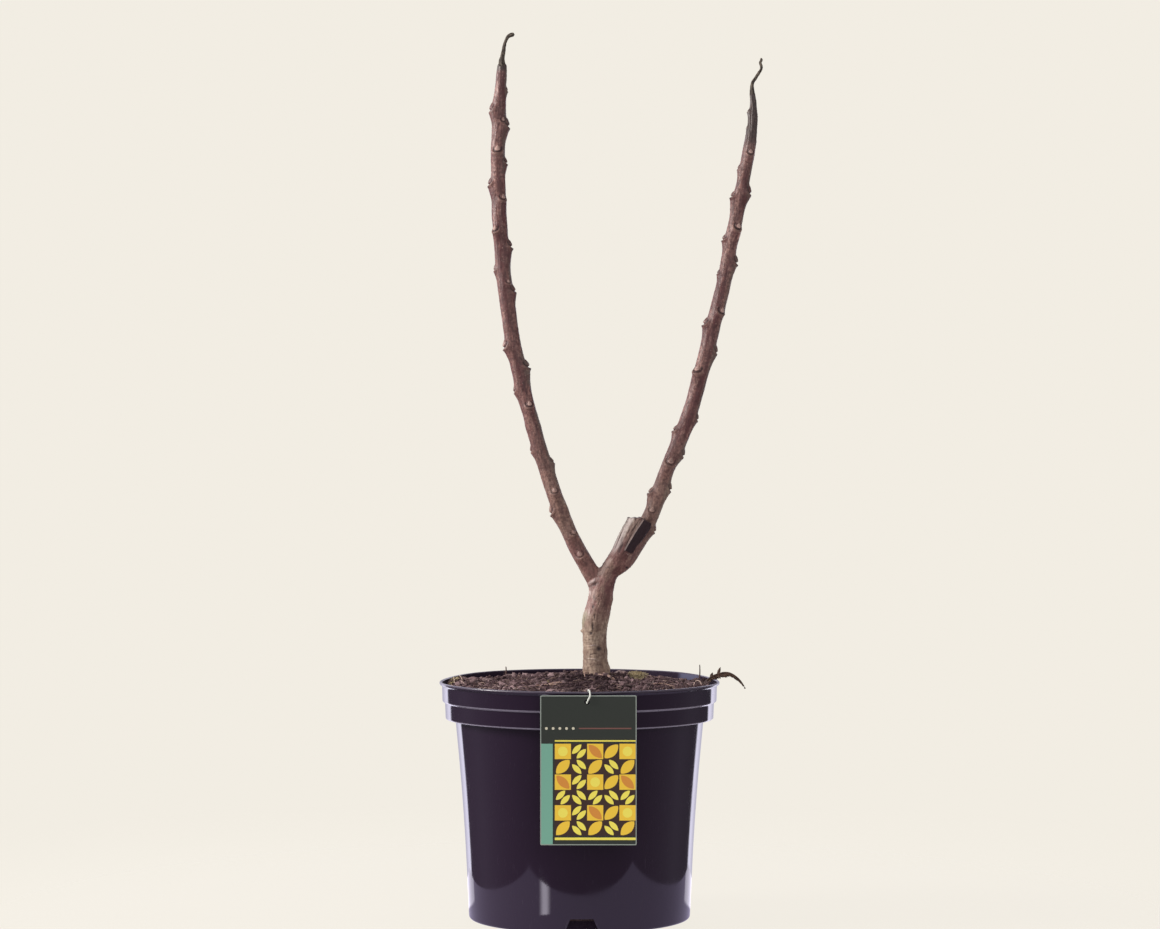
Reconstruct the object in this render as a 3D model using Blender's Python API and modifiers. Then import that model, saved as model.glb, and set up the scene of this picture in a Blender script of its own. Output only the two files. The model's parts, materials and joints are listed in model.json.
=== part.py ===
# Potted staghorn sumac in winter: a short trunk that forks into two bare boughs with leaf scar
# knobs and withered tips, an old sawn stub beside the right bough, and a filled nursery pot with a
# hanging label. Metres, +Z up. The origin is on the pot's axis, on its flat underside, and the
# front of the plant faces -Y. Sizes in the named values are millimetres and are scaled once.

import math
import random

import bmesh
import bpy
from mathutils import Matrix, Vector

MM = 0.001
GAP = 0.3
SEED = 7

# Pot: a ten litre container, 280 mm across its rim. Its outer side runs from the lip down over
# two collar bands, the sloping wall and the foot band; each point is a radius and a height.
POT_STEPS = 64
POT_WALL = 1.6
LIP_INSIDE = (137.2, 235.2)
POT_OUTSIDE = [
    (138.6, 236.0),
    (139.7, 235.3),
    (140.0, 234.1),
    (139.5, 232.8),
    (137.4, 231.8),
    (137.0, 215.6),
    (136.2, 214.6),
    (134.4, 213.8),
    (133.8, 199.2),
    (132.8, 198.0),
    (124.0, 197.4),
    (111.0, 16.8),
    (112.3, 16.0),
    (112.1, 4.0),
    (110.9, 1.2),
    (108.3, 0.0),
    (0.0, 0.0),
]
POT_INSIDE = [
    (135.8, 231.0),
    (135.3, 216.2),
    (132.8, 215.8),
    (132.0, 199.6),
    (122.4, 199.4),
    (109.4, 16.0),
    (109.0, 4.6),
    (105.4, 1.6),
    (0.0, 1.6),
]

# Drain channels pressed up into the foot of the pot, one of them at the front
DRAIN_COUNT = 3
DRAIN_FIRST_DEG = 271.2
DRAIN_HEIGHT = 14.1
DRAIN_FOOT_WIDTH = 38.7
DRAIN_TOP_WIDTH = 22.4
DRAIN_INNER_RADIUS = 84.0
DRAIN_ROOF_RADIUS = 110.2
DRAIN_OUTER_RADIUS = 122.0
DRAIN_CUT_FOOT = -5.0

# Compost: a little under the rim at the wall, heaped to a flat seat round the trunk
COMPOST_EDGE = 230.0
COMPOST_SEAT = 243.5
COMPOST_SEAT_RADIUS = 36.0
COMPOST_RINGS = 5
COMPOST_CURVE = 1.5

# Limbs: stations of side, depth, height and diameter, from the foot up
LIMB_STEP = 13.0
TIP_STEP = 2.4
TRUNK_FOOT = COMPOST_SEAT + GAP
OLD_STEM = [
    (17.6, 0.0, 238.0, 28.4),
    (17.2, 0.0, 245.0, 27.0),
    (16.2, 0.0, 252.0, 24.8),
    (15.4, 0.0, 268.0, 23.6),
    (15.4, 0.0, 286.0, 24.2),
    (16.4, 0.0, 300.0, 25.8),
    (20.4, 0.0, 315.0, 24.4),
    (23.0, 0.0, 329.0, 23.6),
    (29.8, 0.0, 346.0, 18.8),
    (37.0, -1.0, 356.6, 19.0),
    (42.4, -1.6, 364.6, 20.4),
    (50.2, -2.0, 379.4, 22.2),
    (55.6, -2.0, 388.4, 23.2),
    (62.8, -2.0, 399.6, 23.4),
]
LEFT_BOUGH = [
    (19.0, 0.0, 331.0, 15.0),
    (12.5, 0.0, 342.0, 16.8),
    (-6.5, -2.0, 376.7, 16.2),
    (-20.5, -4.0, 408.7, 15.4),
    (-38.5, -7.0, 460.7, 14.8),
    (-57.5, -10.0, 528.7, 14.8),
    (-70.5, -11.0, 600.7, 15.0),
    (-78.5, -9.0, 676.7, 14.8),
    (-81.5, -6.0, 751.7, 13.4),
    (-80.0, -3.0, 816.0, 12.6),
    (-78.4, -2.0, 838.0, 10.2),
    (-77.7, -2.0, 852.4, 9.4),
]
RIGHT_BOUGH = [
    (38.0, 1.0, 350.0, 13.0),
    (45.0, 5.5, 355.0, 15.0),
    (54.5, 10.5, 367.5, 16.0),
    (64.0, 12.5, 384.7, 16.2),
    (74.5, 12.0, 408.7, 15.2),
    (88.5, 11.0, 448.7, 15.0),
    (108.5, 10.0, 496.7, 15.0),
    (122.0, 9.0, 544.7, 15.0),
    (138.0, 8.0, 608.7, 14.6),
    (151.5, 7.0, 676.7, 13.8),
    (166.0, 5.0, 750.7, 12.8),
    (172.0, 4.0, 786.0, 11.2),
    (173.3, 3.0, 802.0, 9.6),
    (172.8, 3.0, 812.0, 6.2),
    (172.2, 3.0, 825.0, 5.0),
]
LEFT_TIP = [
    (-77.6, -2.0, 852.7, 5.6),
    (-77.0, -2.0, 860.0, 4.2),
    (-75.0, -2.0, 871.0, 3.0),
    (-72.4, -2.0, 878.2, 2.6),
    (-69.2, -2.0, 881.6, 3.4),
    (-66.4, -2.0, 882.6, 3.0),
]
RIGHT_TIP = [
    (172.2, 3.0, 825.3, 3.8),
    (173.1, 3.0, 833.4, 3.4),
    (176.3, 3.0, 839.2, 3.0),
    (181.2, 3.0, 846.2, 2.8),
    (182.4, 3.0, 850.2, 2.6),
    (180.8, 3.0, 854.4, 2.4),
    (182.2, 3.0, 857.0, 2.4),
    (181.7, 3.0, 859.6, 2.2),
]

# The old stem is the trunk up to the fork and the stub above it. The stub's top is sawn level on
# its left and slopes down on its right, and a long slice runs down its front right side.
FORK_HEIGHT = 346.0
STUB_TOP = 398.9
STUB_SLOPE_SIDE = 62.0
STUB_SLOPE_DEG = 27.6
SLICE_FOOT = 363.5
SLICE_FACING_DEG = 322.0
SLICE_DEPTH = 2.6
SLICE_REACH = 60.0

# Leaf scars on each bough: height above the pot's underside and facing in degrees, 0 to the
# right, 90 to the back, 180 to the left and 270 to the front
LEFT_SCARS = [
    (362, 270), (380, 0), (405, 180), (424, 275), (439, 100), (453, 0),
    (469, 180), (489, 80), (511, 265), (528, 180), (549, 0), (570, 180),
    (589, 90), (608, 60), (629, 315), (648, 180), (670, 0), (686, 240),
    (701, 90), (716, 315), (733, 180), (751, 0), (765, 270), (778, 90),
    (791, 0), (807, 180), (818, 100), (827, 0), (840, 200),
]
RIGHT_SCARS = [
    (362, 320), (390, 0), (405, 262), (424, 180), (431, 0), (441, 90),
    (454, 270), (466, 0), (488, 180), (501, 0), (516, 90), (531, 110),
    (544, 225), (568, 0), (581, 90), (593, 180), (607, 270), (625, 80),
    (645, 180), (657, 0), (677, 180), (690, 270), (705, 90), (718, 180),
    (727, 0), (750, 180), (765, 270), (777, 60), (789, 180), (804, 180),
]
SCAR_LENGTH = 5.2
SCAR_WIDTH = 4.4
SCAR_STAND = 2.6
SCAR_SINK = 0.3
SCAR_SPREAD = 0.16
SCAR_FULL_RADIUS = 7.0
BUD_RADIUS = 1.7
BUD_LENGTH = 2.2
BUD_STAND = 2.2
BUD_SINK = 0.6
BUD_RISE = 1.6

# Label card, hung in front of the collar from a wire hook over the rim
CARD_WIDTH = 92.0
CARD_HEIGHT = 143.0
CARD_THICKNESS = 0.6
CARD_CORNER = 1.2
CARD_SIDE = 8.5
CARD_FOOT = 89.8
CARD_BACK = -142.6
HOLE_SIDE = 7.2
HOLE_HEIGHT = 226.4
HOLE_RADIUS = 2.6

# The hook grips the rim, drops over the card's top edge and comes back through its hole
HOOK_STEP = 1.6
HOOK_WIRE = [
    (8.2, -134.2, 233.0, 1.6),
    (8.2, -134.2, 235.5, 1.6),
    (8.6, -135.8, 237.2, 1.6),
    (9.4, -140.0, 237.1, 1.6),
    (10.0, -142.4, 234.8, 1.6),
    (10.1, -144.3, 232.3, 1.6),
    (8.4, -144.5, 228.8, 1.6),
    (7.2, -144.1, 226.0, 1.6),
    (7.0, -142.9, 225.5, 1.6),
]

# Dead leaflet lying on the compost and over the right side of the rim, which its rib touches
LEAFLET_RIB = [
    (124.0, -9.0, 233.4, 1.2),
    (132.0, -9.0, 235.9, 1.5),
    (139.4, -9.0, 237.1, 1.5),
    (147.0, -9.0, 240.9, 1.5),
    (153.5, -9.0, 241.4, 1.4),
    (160.0, -9.0, 236.4, 1.1),
    (165.0, -9.0, 229.6, 0.8),
]
LEAFLET_STEP = 3.0
LEAFLET_STALK_STEPS = 4
LEAFLET_THICKNESS = 0.7
TOOTH_PAIRS = 9
TOOTH_LENGTH = 6.4
TOOTH_WIDTH = 3.4
TOOTH_TIP_RADIUS = 0.3
TOOTH_FORWARD = 0.55
TOOTH_SHORTENING = 0.55
TOOTH_DROOP_START = -0.5
TOOTH_DROOP_END = 0.6
TOOTH_FIRST_SHARE = 0.64
TOOTH_SHARE_GROWTH = 1.35


def clear_scene():
    for item in list(bpy.data.objects):
        bpy.data.objects.remove(item, do_unlink=True)


def make_collection(name):
    group = bpy.data.collections.new(name)
    bpy.context.scene.collection.children.link(group)
    return group


def make_material(name, color, roughness, metallic=0.0):
    material = bpy.data.materials.new(name)
    material.use_nodes = True
    shader = material.node_tree.nodes["Principled BSDF"]
    shader.inputs["Base Color"].default_value = (*color, 1.0)
    shader.inputs["Roughness"].default_value = roughness
    shader.inputs["Metallic"].default_value = metallic
    return material


def add_object(name, data, group):
    item = bpy.data.objects.new(name, data)
    group.objects.link(item)
    return item


def finish_part(item, material):
    item.data.materials.clear()
    item.data.materials.append(material)
    item.data.shade_smooth()
    item.data.set_sharp_from_angle(angle=math.radians(40))


def evaluated_mesh(item):
    bpy.context.view_layer.update()
    graph = bpy.context.evaluated_depsgraph_get()
    return bpy.data.meshes.new_from_object(item.evaluated_get(graph), depsgraph=graph)


def trim(item, point, normal):
    # Cuts off what lies beyond a plane, on the side its normal points to, and closes the cut
    bm = bmesh.new()
    bm.from_mesh(item.data)
    cut = bmesh.ops.bisect_plane(bm, geom=bm.verts[:] + bm.edges[:] + bm.faces[:], dist=0.000001,
                                 plane_co=Vector(point) * MM, plane_no=normal, clear_outer=True)
    edges = [e for e in cut["geom_cut"] if isinstance(e, bmesh.types.BMEdge) and e.is_boundary]
    bmesh.ops.holes_fill(bm, edges=edges)
    bmesh.ops.recalc_face_normals(bm, faces=bm.faces)
    bm.to_mesh(item.data)
    bm.free()


def curve_to_mesh(item, name, group):
    # A curve's caps are loose, so they are welded on
    mesh = evaluated_mesh(item)
    mesh.name = name
    bm = bmesh.new()
    bm.from_mesh(mesh)
    bmesh.ops.remove_doubles(bm, verts=bm.verts, dist=0.00001)
    bmesh.ops.recalc_face_normals(bm, faces=bm.faces)
    bm.to_mesh(mesh)
    bm.free()
    place = item.matrix_world.copy()
    old = item.data
    bpy.data.objects.remove(item, do_unlink=True)
    bpy.data.curves.remove(old)
    solid = add_object(name, mesh, group)
    solid.matrix_world = place
    return solid


def apply_boolean(item, other, operation):
    # other is one object or a whole collection; it is used up
    modifier = item.modifiers.new(operation, "BOOLEAN")
    modifier.operation = operation
    modifier.solver = "EXACT"
    if isinstance(other, bpy.types.Collection):
        modifier.operand_type = "COLLECTION"
        modifier.collection = other
        used = list(other.objects)
    else:
        modifier.object = other
        used = [other]
    mesh = evaluated_mesh(item)
    item.modifiers.clear()
    old = item.data
    item.data = mesh
    mesh.name = item.name
    bpy.data.meshes.remove(old)
    for tool in used:
        bpy.data.objects.remove(tool, do_unlink=True)


def smooth_value(a, b, c, d, t):
    # One span of a Catmull-Rom curve, from b to c
    return 0.5 * (
        2 * b
        + (c - a) * t
        + (2 * a - 5 * b + 4 * c - d) * t * t
        + (3 * b - a - 3 * c + d) * t ** 3
    )


def limb_path(stations, step=LIMB_STEP):
    # Points with their diameter along a smooth line through the stations, in millimetres
    ends = [stations[0]] + list(stations) + [stations[-1]]
    path = []
    for i in range(1, len(ends) - 2):
        a, b, c, d = ends[i - 1:i + 3]
        span = math.dist(b[:3], c[:3])
        count = max(1, round(span / step))
        for k in range(count):
            path.append([smooth_value(*values, k / count) for values in zip(a, b, c, d)])
    path.append(list(stations[-1]))
    return path


def make_limb(name, stations, group, grow=0.0, step=LIMB_STEP, roundness=3):
    # A tapering tube with flat ends. Grown by a margin, it is the cutter for a neighbour.
    data = bpy.data.curves.new(name, "CURVE")
    data.dimensions = "3D"
    data.bevel_depth = MM
    data.bevel_resolution = roundness
    data.use_fill_caps = True
    path = limb_path(stations, step)
    spline = data.splines.new("POLY")
    spline.points.add(len(path) - 1)
    for point, (x, y, z, diameter) in zip(spline.points, path):
        point.co = (x * MM, y * MM, z * MM, 1.0)
        point.radius = diameter / 2 + grow
    return curve_to_mesh(add_object(name, data, group), name, group)


def frame_at_height(path, height):
    # The axis point, its upward direction and its radius where a limb passes a height
    for low, high in zip(path, path[1:]):
        if low[2] <= height <= high[2]:
            t = (height - low[2]) / (high[2] - low[2])
            here = [a + (b - a) * t for a, b in zip(low, high)]
            along = (Vector(high[:3]) - Vector(low[:3])).normalized()
            return Vector(here[:3]), along, here[3] / 2
    raise ValueError(f"no part of the limb is at {height} mm")


def facing_axes(along, facing_deg):
    # Out of the limb towards a compass facing, across it and along it, as a rotation
    facing = Vector((math.cos(math.radians(facing_deg)), math.sin(math.radians(facing_deg)), 0))
    out = (facing - along * facing.dot(along)).normalized()
    return out, Matrix((out, along.cross(out), along)).transposed().to_4x4()


def add_scars(bough, stations, scars, shapes):
    # Each scar is a swollen cushion with a small bud standing on its upper half
    path = limb_path(stations)
    dice = random.Random(SEED + len(scars))
    cushions = bmesh.new()
    buds = bmesh.new()
    for height, facing_deg in scars:
        centre, along, radius = frame_at_height(path, height)
        out, turn = facing_axes(along, facing_deg)
        size = 1 + SCAR_SPREAD * dice.uniform(-1, 1)
        size *= min(1.0, radius / SCAR_FULL_RADIUS)
        seat = centre + out * (radius - SCAR_SINK)
        shape = Matrix.Diagonal((SCAR_STAND * size, SCAR_WIDTH * size, SCAR_LENGTH * size, 1.0))
        bmesh.ops.create_uvsphere(cushions, u_segments=6, v_segments=4, radius=MM,
                                  matrix=Matrix.Translation(seat * MM) @ turn @ shape)
        bud = centre + out * (radius + BUD_STAND * size - BUD_SINK) + along * BUD_RISE
        shape = Matrix.Diagonal((BUD_RADIUS, BUD_RADIUS, BUD_LENGTH, 1.0))
        bmesh.ops.create_uvsphere(buds, u_segments=5, v_segments=3, radius=MM,
                                  matrix=Matrix.Translation(bud * MM) @ turn @ shape)
    for kind, bm in (("cushions", cushions), ("buds", buds)):
        mesh = bpy.data.meshes.new(kind)
        bm.to_mesh(mesh)
        bm.free()
        add_object(kind, mesh, shapes)
    apply_boolean(bough, shapes, "UNION")


def turned_solid(name, profile, group):
    # A profile of radius and height, run down its outer side, turned about the pot's axis
    mesh = bpy.data.meshes.new(name)
    points = [(radius * MM, 0.0, height * MM) for radius, height in profile]
    mesh.from_pydata(points, [(i, i + 1) for i in range(len(points) - 1)], [])
    item = add_object(name, mesh, group)
    screw = item.modifiers.new("turn", "SCREW")
    screw.axis = "Z"
    screw.steps = POT_STEPS
    screw.render_steps = POT_STEPS
    screw.use_merge_vertices = True
    screw.merge_threshold = 0.00001
    item.data = evaluated_mesh(item)
    item.data.name = name
    item.modifiers.clear()
    return item


def pot_inside(margin):
    # The pot's inner side from the rim down to the axis, drawn in by a margin
    return [(max(0.0, radius - margin), height + margin) for radius, height in POT_INSIDE]


def drain_prism(name, angle_deg, grow, outer, group):
    # A box with a narrower top, laid along a radius of the pot's foot
    mesh = bpy.data.meshes.new(name)
    bm = bmesh.new()
    bmesh.ops.create_cube(bm, size=1.0)
    inner = DRAIN_INNER_RADIUS - grow
    for corner in bm.verts:
        high = corner.co.z > 0
        width = (DRAIN_TOP_WIDTH if high else DRAIN_FOOT_WIDTH) + 2 * grow
        corner.co.x = outer if corner.co.x > 0 else inner
        corner.co.y = math.copysign(width / 2, corner.co.y)
        corner.co.z = DRAIN_HEIGHT + grow if high else DRAIN_CUT_FOOT
    bmesh.ops.scale(bm, vec=(MM, MM, MM), verts=bm.verts)
    bmesh.ops.rotate(bm, cent=(0, 0, 0), verts=bm.verts,
                     matrix=Matrix.Rotation(math.radians(angle_deg), 3, "Z"))
    bm.to_mesh(mesh)
    bm.free()
    return add_object(name, mesh, group)


def drain_angles():
    return [DRAIN_FIRST_DEG + 360.0 * i / DRAIN_COUNT for i in range(DRAIN_COUNT)]


def make_pot(group, shapes, material):
    profile = POT_INSIDE[::-1] + [LIP_INSIDE] + POT_OUTSIDE
    pot = turned_solid("pot", profile, group)
    # The channel roofs stand up inside the pot, and the channels are then cut out under them
    for angle in drain_angles():
        drain_prism("drain_roof", angle, POT_WALL, DRAIN_ROOF_RADIUS, shapes)
    apply_boolean(pot, shapes, "UNION")
    trim(pot, (0, 0, 0), (0, 0, -1))
    for angle in drain_angles():
        drain_prism("drain_cutter", angle, 0.0, DRAIN_OUTER_RADIUS, shapes)
    apply_boolean(pot, shapes, "DIFFERENCE")
    finish_part(pot, material)


def make_compost(group, shapes, material):
    wall = pot_inside(GAP)
    edge_radius = wall[0][0]
    top = [(0.0, COMPOST_SEAT)]
    for i in range(COMPOST_RINGS + 1):
        t = i / COMPOST_RINGS
        radius = COMPOST_SEAT_RADIUS + (edge_radius - COMPOST_SEAT_RADIUS) * t
        top.append((radius, COMPOST_SEAT - (COMPOST_SEAT - COMPOST_EDGE) * t ** COMPOST_CURVE))
    compost = turned_solid("compost", top + wall[1:], group)
    for angle in drain_angles():
        drain_prism("compost_cutter", angle, POT_WALL + GAP, DRAIN_OUTER_RADIUS, shapes)
    apply_boolean(compost, shapes, "DIFFERENCE")
    finish_part(compost, material)


def block_cutter(name, size, centre, turn, group):
    # A box of a size in its own axes, turned and then placed by its centre
    mesh = bpy.data.meshes.new(name)
    bm = bmesh.new()
    bmesh.ops.create_cube(bm, size=1.0)
    bmesh.ops.scale(bm, vec=Vector(size) * MM, verts=bm.verts)
    bmesh.ops.transform(bm, matrix=Matrix.Translation(Vector(centre) * MM) @ turn, verts=bm.verts)
    bm.to_mesh(mesh)
    bm.free()
    item = add_object(name, mesh, group)
    item.hide_render = True
    item.display_type = "WIRE"
    return item


def make_trunk(group, material):
    trunk = make_limb("trunk", OLD_STEM, group)
    fork, along, _ = frame_at_height(limb_path(OLD_STEM), FORK_HEIGHT)
    trim(trunk, (0, 0, TRUNK_FOOT), (0, 0, -1))
    trim(trunk, fork - along * GAP, along)
    finish_part(trunk, material)


def make_stub(group, cutters, material):
    stub = make_limb("pruned_stub", OLD_STEM, group)
    path = limb_path(OLD_STEM)
    fork, along, _ = frame_at_height(path, FORK_HEIGHT)
    trim(stub, fork, -along)
    trim(stub, (0, 0, STUB_TOP), (0, 0, 1))
    slope = math.radians(STUB_SLOPE_DEG)
    trim(stub, (STUB_SLOPE_SIDE, 0, STUB_TOP), (math.sin(slope), 0, math.cos(slope)))
    # The slice faces the front right and ends in a ledge above the stub's foot
    foot, along, radius = frame_at_height(path, SLICE_FOOT)
    out, turn = facing_axes(along, SLICE_FACING_DEG)
    centre = foot + out * (radius - SLICE_DEPTH + SLICE_REACH / 2) + along * SLICE_REACH / 2
    slice_block = block_cutter("stub_slice", (SLICE_REACH,) * 3, centre, turn, cutters)
    apply_boolean(stub, slice_block, "DIFFERENCE")
    finish_part(stub, material)


def make_bough(name, stations, scars, group, shapes, cutters, material):
    # The bough's foot is saddled on the old stem, just clear of it
    bough = make_limb(name, stations, group)
    add_scars(bough, stations, scars, shapes)
    apply_boolean(bough, make_limb("stem_margin", OLD_STEM, cutters, grow=GAP), "DIFFERENCE")
    finish_part(bough, material)


def make_tip(name, stations, group, material):
    finish_part(make_limb(name, stations, group, step=TIP_STEP, roundness=2), material)


def rounded_outline(spline, width, height, radius, corner_points=4):
    # A closed rectangle with round corners, about its own middle
    points = []
    corners = ((1, 1), (-1, 1), (-1, -1), (1, -1))
    for turn, (side, end) in enumerate(corners):
        for k in range(corner_points + 1):
            angle = math.radians(90 * (turn + k / corner_points))
            points.append((side * (width / 2 - radius) + radius * math.cos(angle),
                           end * (height / 2 - radius) + radius * math.sin(angle)))
    fill_spline(spline, points)


def circle_outline(spline, centre, radius, count=16):
    fill_spline(spline, [
        (centre[0] + radius * math.cos(2 * math.pi * k / count),
         centre[1] + radius * math.sin(2 * math.pi * k / count)) for k in range(count)])


def fill_spline(spline, points):
    spline.points.add(len(points) - 1)
    for point, (x, y) in zip(spline.points, points):
        point.co = (x * MM, y * MM, 0.0, 1.0)
    spline.use_cyclic_u = True


def make_card(group, material):
    # A flat outline with its hanging hole, stood up in front of the collar
    data = bpy.data.curves.new("label_card", "CURVE")
    data.dimensions = "2D"
    data.fill_mode = "BOTH"
    data.extrude = CARD_THICKNESS / 2 * MM
    middle = CARD_FOOT + CARD_HEIGHT / 2
    rounded_outline(data.splines.new("POLY"), CARD_WIDTH, CARD_HEIGHT, CARD_CORNER)
    circle_outline(data.splines.new("POLY"), (HOLE_SIDE - CARD_SIDE, HOLE_HEIGHT - middle),
                   HOLE_RADIUS)
    curve = add_object("label_card", data, group)
    place = Vector((CARD_SIDE, CARD_BACK - CARD_THICKNESS / 2, middle)) * MM
    curve.matrix_world = Matrix.Translation(place) @ Matrix.Rotation(math.radians(90), 4, "X")
    bpy.context.view_layer.update()
    finish_part(curve_to_mesh(curve, "label_card", group), material)


def make_hook(group, material):
    hook = make_limb("label_hook", HOOK_WIRE, group, step=HOOK_STEP, roundness=2)
    finish_part(hook, material)


def add_tooth(here, along, side, t, shapes):
    # One flat tooth of a blade, t of the way along the blade, aimed out and forwards
    mesh = bpy.data.meshes.new("tooth")
    share = min(1.0, TOOTH_FIRST_SHARE + TOOTH_SHARE_GROWTH * t)
    length = TOOTH_LENGTH * (1 - TOOTH_SHORTENING * t) * share
    droop = TOOTH_DROOP_START + (TOOTH_DROOP_END - TOOTH_DROOP_START) * t
    aim = (Vector((0, side, -droop)) + along * TOOTH_FORWARD).normalized()
    flat = along.cross(aim).normalized()
    turn = Matrix((flat.cross(aim), flat, aim)).transposed().to_4x4()
    place = Matrix.Translation(here + aim * (length / 2 - TOOTH_TIP_RADIUS))
    bm = bmesh.new()
    bmesh.ops.create_cone(bm, cap_ends=True, segments=4, radius1=TOOTH_WIDTH / 2,
                          radius2=TOOTH_TIP_RADIUS, depth=length)
    bmesh.ops.scale(bm, vec=(1.0, LEAFLET_THICKNESS / TOOTH_WIDTH, 1.0), verts=bm.verts)
    bmesh.ops.transform(bm, matrix=Matrix.Scale(MM, 4) @ place @ turn, verts=bm.verts)
    bmesh.ops.recalc_face_normals(bm, faces=bm.faces)
    bm.to_mesh(mesh)
    bm.free()
    add_object("tooth", mesh, shapes)


def make_leaflet(group, shapes, material):
    # A thin curled rib with toothed blades on both sides, fused to one body
    rib = make_limb("fallen_leaflet", LEAFLET_RIB, group, step=LEAFLET_STEP, roundness=1)
    path = limb_path(LEAFLET_RIB, LEAFLET_STEP)
    blade_steps = len(path) - 2 - LEAFLET_STALK_STEPS
    for i in range(TOOTH_PAIRS):
        t = i / (TOOTH_PAIRS - 1)
        index = LEAFLET_STALK_STEPS + round(t * blade_steps)
        here = Vector(path[index][:3])
        along = (Vector(path[index + 1][:3]) - here).normalized()
        for side in (-1, 1):
            add_tooth(here, along, side, t, shapes)
    apply_boolean(rib, shapes, "UNION")
    finish_part(rib, material)


def main():
    clear_scene()
    plant = make_collection("potted_staghorn_sumac")
    shapes = make_collection("shapes_to_join")
    cutters = make_collection("cutters")
    materials = {
        "pot_plastic": make_material("pot_plastic", (0.018, 0.016, 0.022), 0.22),
        "compost": make_material("compost", (0.075, 0.045, 0.038), 0.95),
        "old_bark": make_material("old_bark", (0.21, 0.135, 0.105), 0.85),
        "young_bark": make_material("young_bark", (0.17, 0.085, 0.075), 0.7),
        "grey_stub": make_material("grey_stub", (0.30, 0.26, 0.23), 0.9),
        "withered_tip": make_material("withered_tip", (0.055, 0.045, 0.04), 0.85),
        "card_print": make_material("card_print", (0.07, 0.085, 0.075), 0.35),
        "hook_plastic": make_material("hook_plastic", (0.75, 0.76, 0.72), 0.4),
        "dry_leaf": make_material("dry_leaf", (0.12, 0.06, 0.04), 0.8),
    }
    make_pot(plant, shapes, materials["pot_plastic"])
    make_compost(plant, shapes, materials["compost"])
    make_trunk(plant, materials["old_bark"])
    make_stub(plant, cutters, materials["grey_stub"])
    for name, stations, scars in (("left_bough", LEFT_BOUGH, LEFT_SCARS),
                                  ("right_bough", RIGHT_BOUGH, RIGHT_SCARS)):
        make_bough(name, stations, scars, plant, shapes, cutters, materials["young_bark"])
    make_tip("left_withered_tip", LEFT_TIP, plant, materials["withered_tip"])
    make_tip("right_withered_tip", RIGHT_TIP, plant, materials["withered_tip"])
    make_card(plant, materials["card_print"])
    make_hook(plant, materials["hook_plastic"])
    make_leaflet(plant, shapes, materials["dry_leaf"])


main()
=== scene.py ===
import json
import math
import random

import bmesh
import bpy
import numpy as np
from mathutils import Matrix, Vector

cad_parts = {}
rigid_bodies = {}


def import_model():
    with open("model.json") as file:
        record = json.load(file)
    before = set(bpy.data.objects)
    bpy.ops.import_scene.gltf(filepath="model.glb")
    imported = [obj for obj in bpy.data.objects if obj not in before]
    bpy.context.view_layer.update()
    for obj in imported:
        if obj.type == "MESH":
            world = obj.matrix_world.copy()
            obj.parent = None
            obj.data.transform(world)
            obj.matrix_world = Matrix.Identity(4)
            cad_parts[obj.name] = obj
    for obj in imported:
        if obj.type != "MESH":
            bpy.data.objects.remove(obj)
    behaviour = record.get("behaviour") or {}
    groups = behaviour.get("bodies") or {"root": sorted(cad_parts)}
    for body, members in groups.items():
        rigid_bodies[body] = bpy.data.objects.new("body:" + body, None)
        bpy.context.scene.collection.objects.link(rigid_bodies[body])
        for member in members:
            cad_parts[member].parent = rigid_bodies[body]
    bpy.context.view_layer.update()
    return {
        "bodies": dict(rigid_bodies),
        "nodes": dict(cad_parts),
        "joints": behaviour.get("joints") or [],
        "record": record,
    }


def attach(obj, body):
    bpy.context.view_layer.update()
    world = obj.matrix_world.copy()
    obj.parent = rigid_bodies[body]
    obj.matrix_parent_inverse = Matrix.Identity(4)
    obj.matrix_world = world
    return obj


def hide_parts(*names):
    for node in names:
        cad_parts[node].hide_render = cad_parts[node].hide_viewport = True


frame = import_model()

# Potted staghorn sumac in its bare winter state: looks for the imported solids.
# Lengths in the dictionaries are millimetres, seen from the front: x right, y back, z up.
mm = 0.001
tau = 2 * math.pi


# small tools for paths, noise and meshes

def smoothPath(stations, step):
    # samples of x, y, z and diameter on a smooth line through the stations
    ends = [stations[0]] + list(stations) + [stations[-1]]
    out = []
    for i in range(1, len(ends) - 2):
        a, b, c, d = (np.array(p, float) for p in ends[i - 1:i + 3])
        count = max(1, round(float(np.linalg.norm(c[:3] - b[:3])) / step))
        for k in range(count):
            t = k / count
            out.append(0.5 * (2 * b + (c - a) * t + (2 * a - 5 * b + 4 * c - d) * t * t
                              + (3 * b - a - 3 * c + d) * t ** 3))
    out.append(np.array(stations[-1], float))
    return np.array(out)


def limbLine(stations, step):
    # the same line at an even spacing, with the run along it and the way it points
    fine = smoothPath(stations, 1.0)
    run = np.concatenate([[0], np.cumsum(np.linalg.norm(np.diff(fine[:, :3], axis=0), axis=1))])
    at = np.linspace(0, run[-1], max(2, int(round(run[-1] / step)) + 1))
    pts = np.stack([np.interp(at, run, fine[:, k]) for k in range(4)], axis=1)
    way = np.gradient(pts[:, :3], axis=0)
    way /= np.linalg.norm(way, axis=1, keepdims=True)
    return {"centre": pts[:, :3], "radius": pts[:, 3] / 2, "run": at, "way": way}


def sideAxes(way):
    # across axes of a limb: the first is turned to the right, the second to the back
    right = np.array([1.0, 0.0, 0.0]) - way * way[..., :1]
    right /= np.linalg.norm(right, axis=-1, keepdims=True)
    return right, np.cross(way, right)


noiseTables = {}


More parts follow.
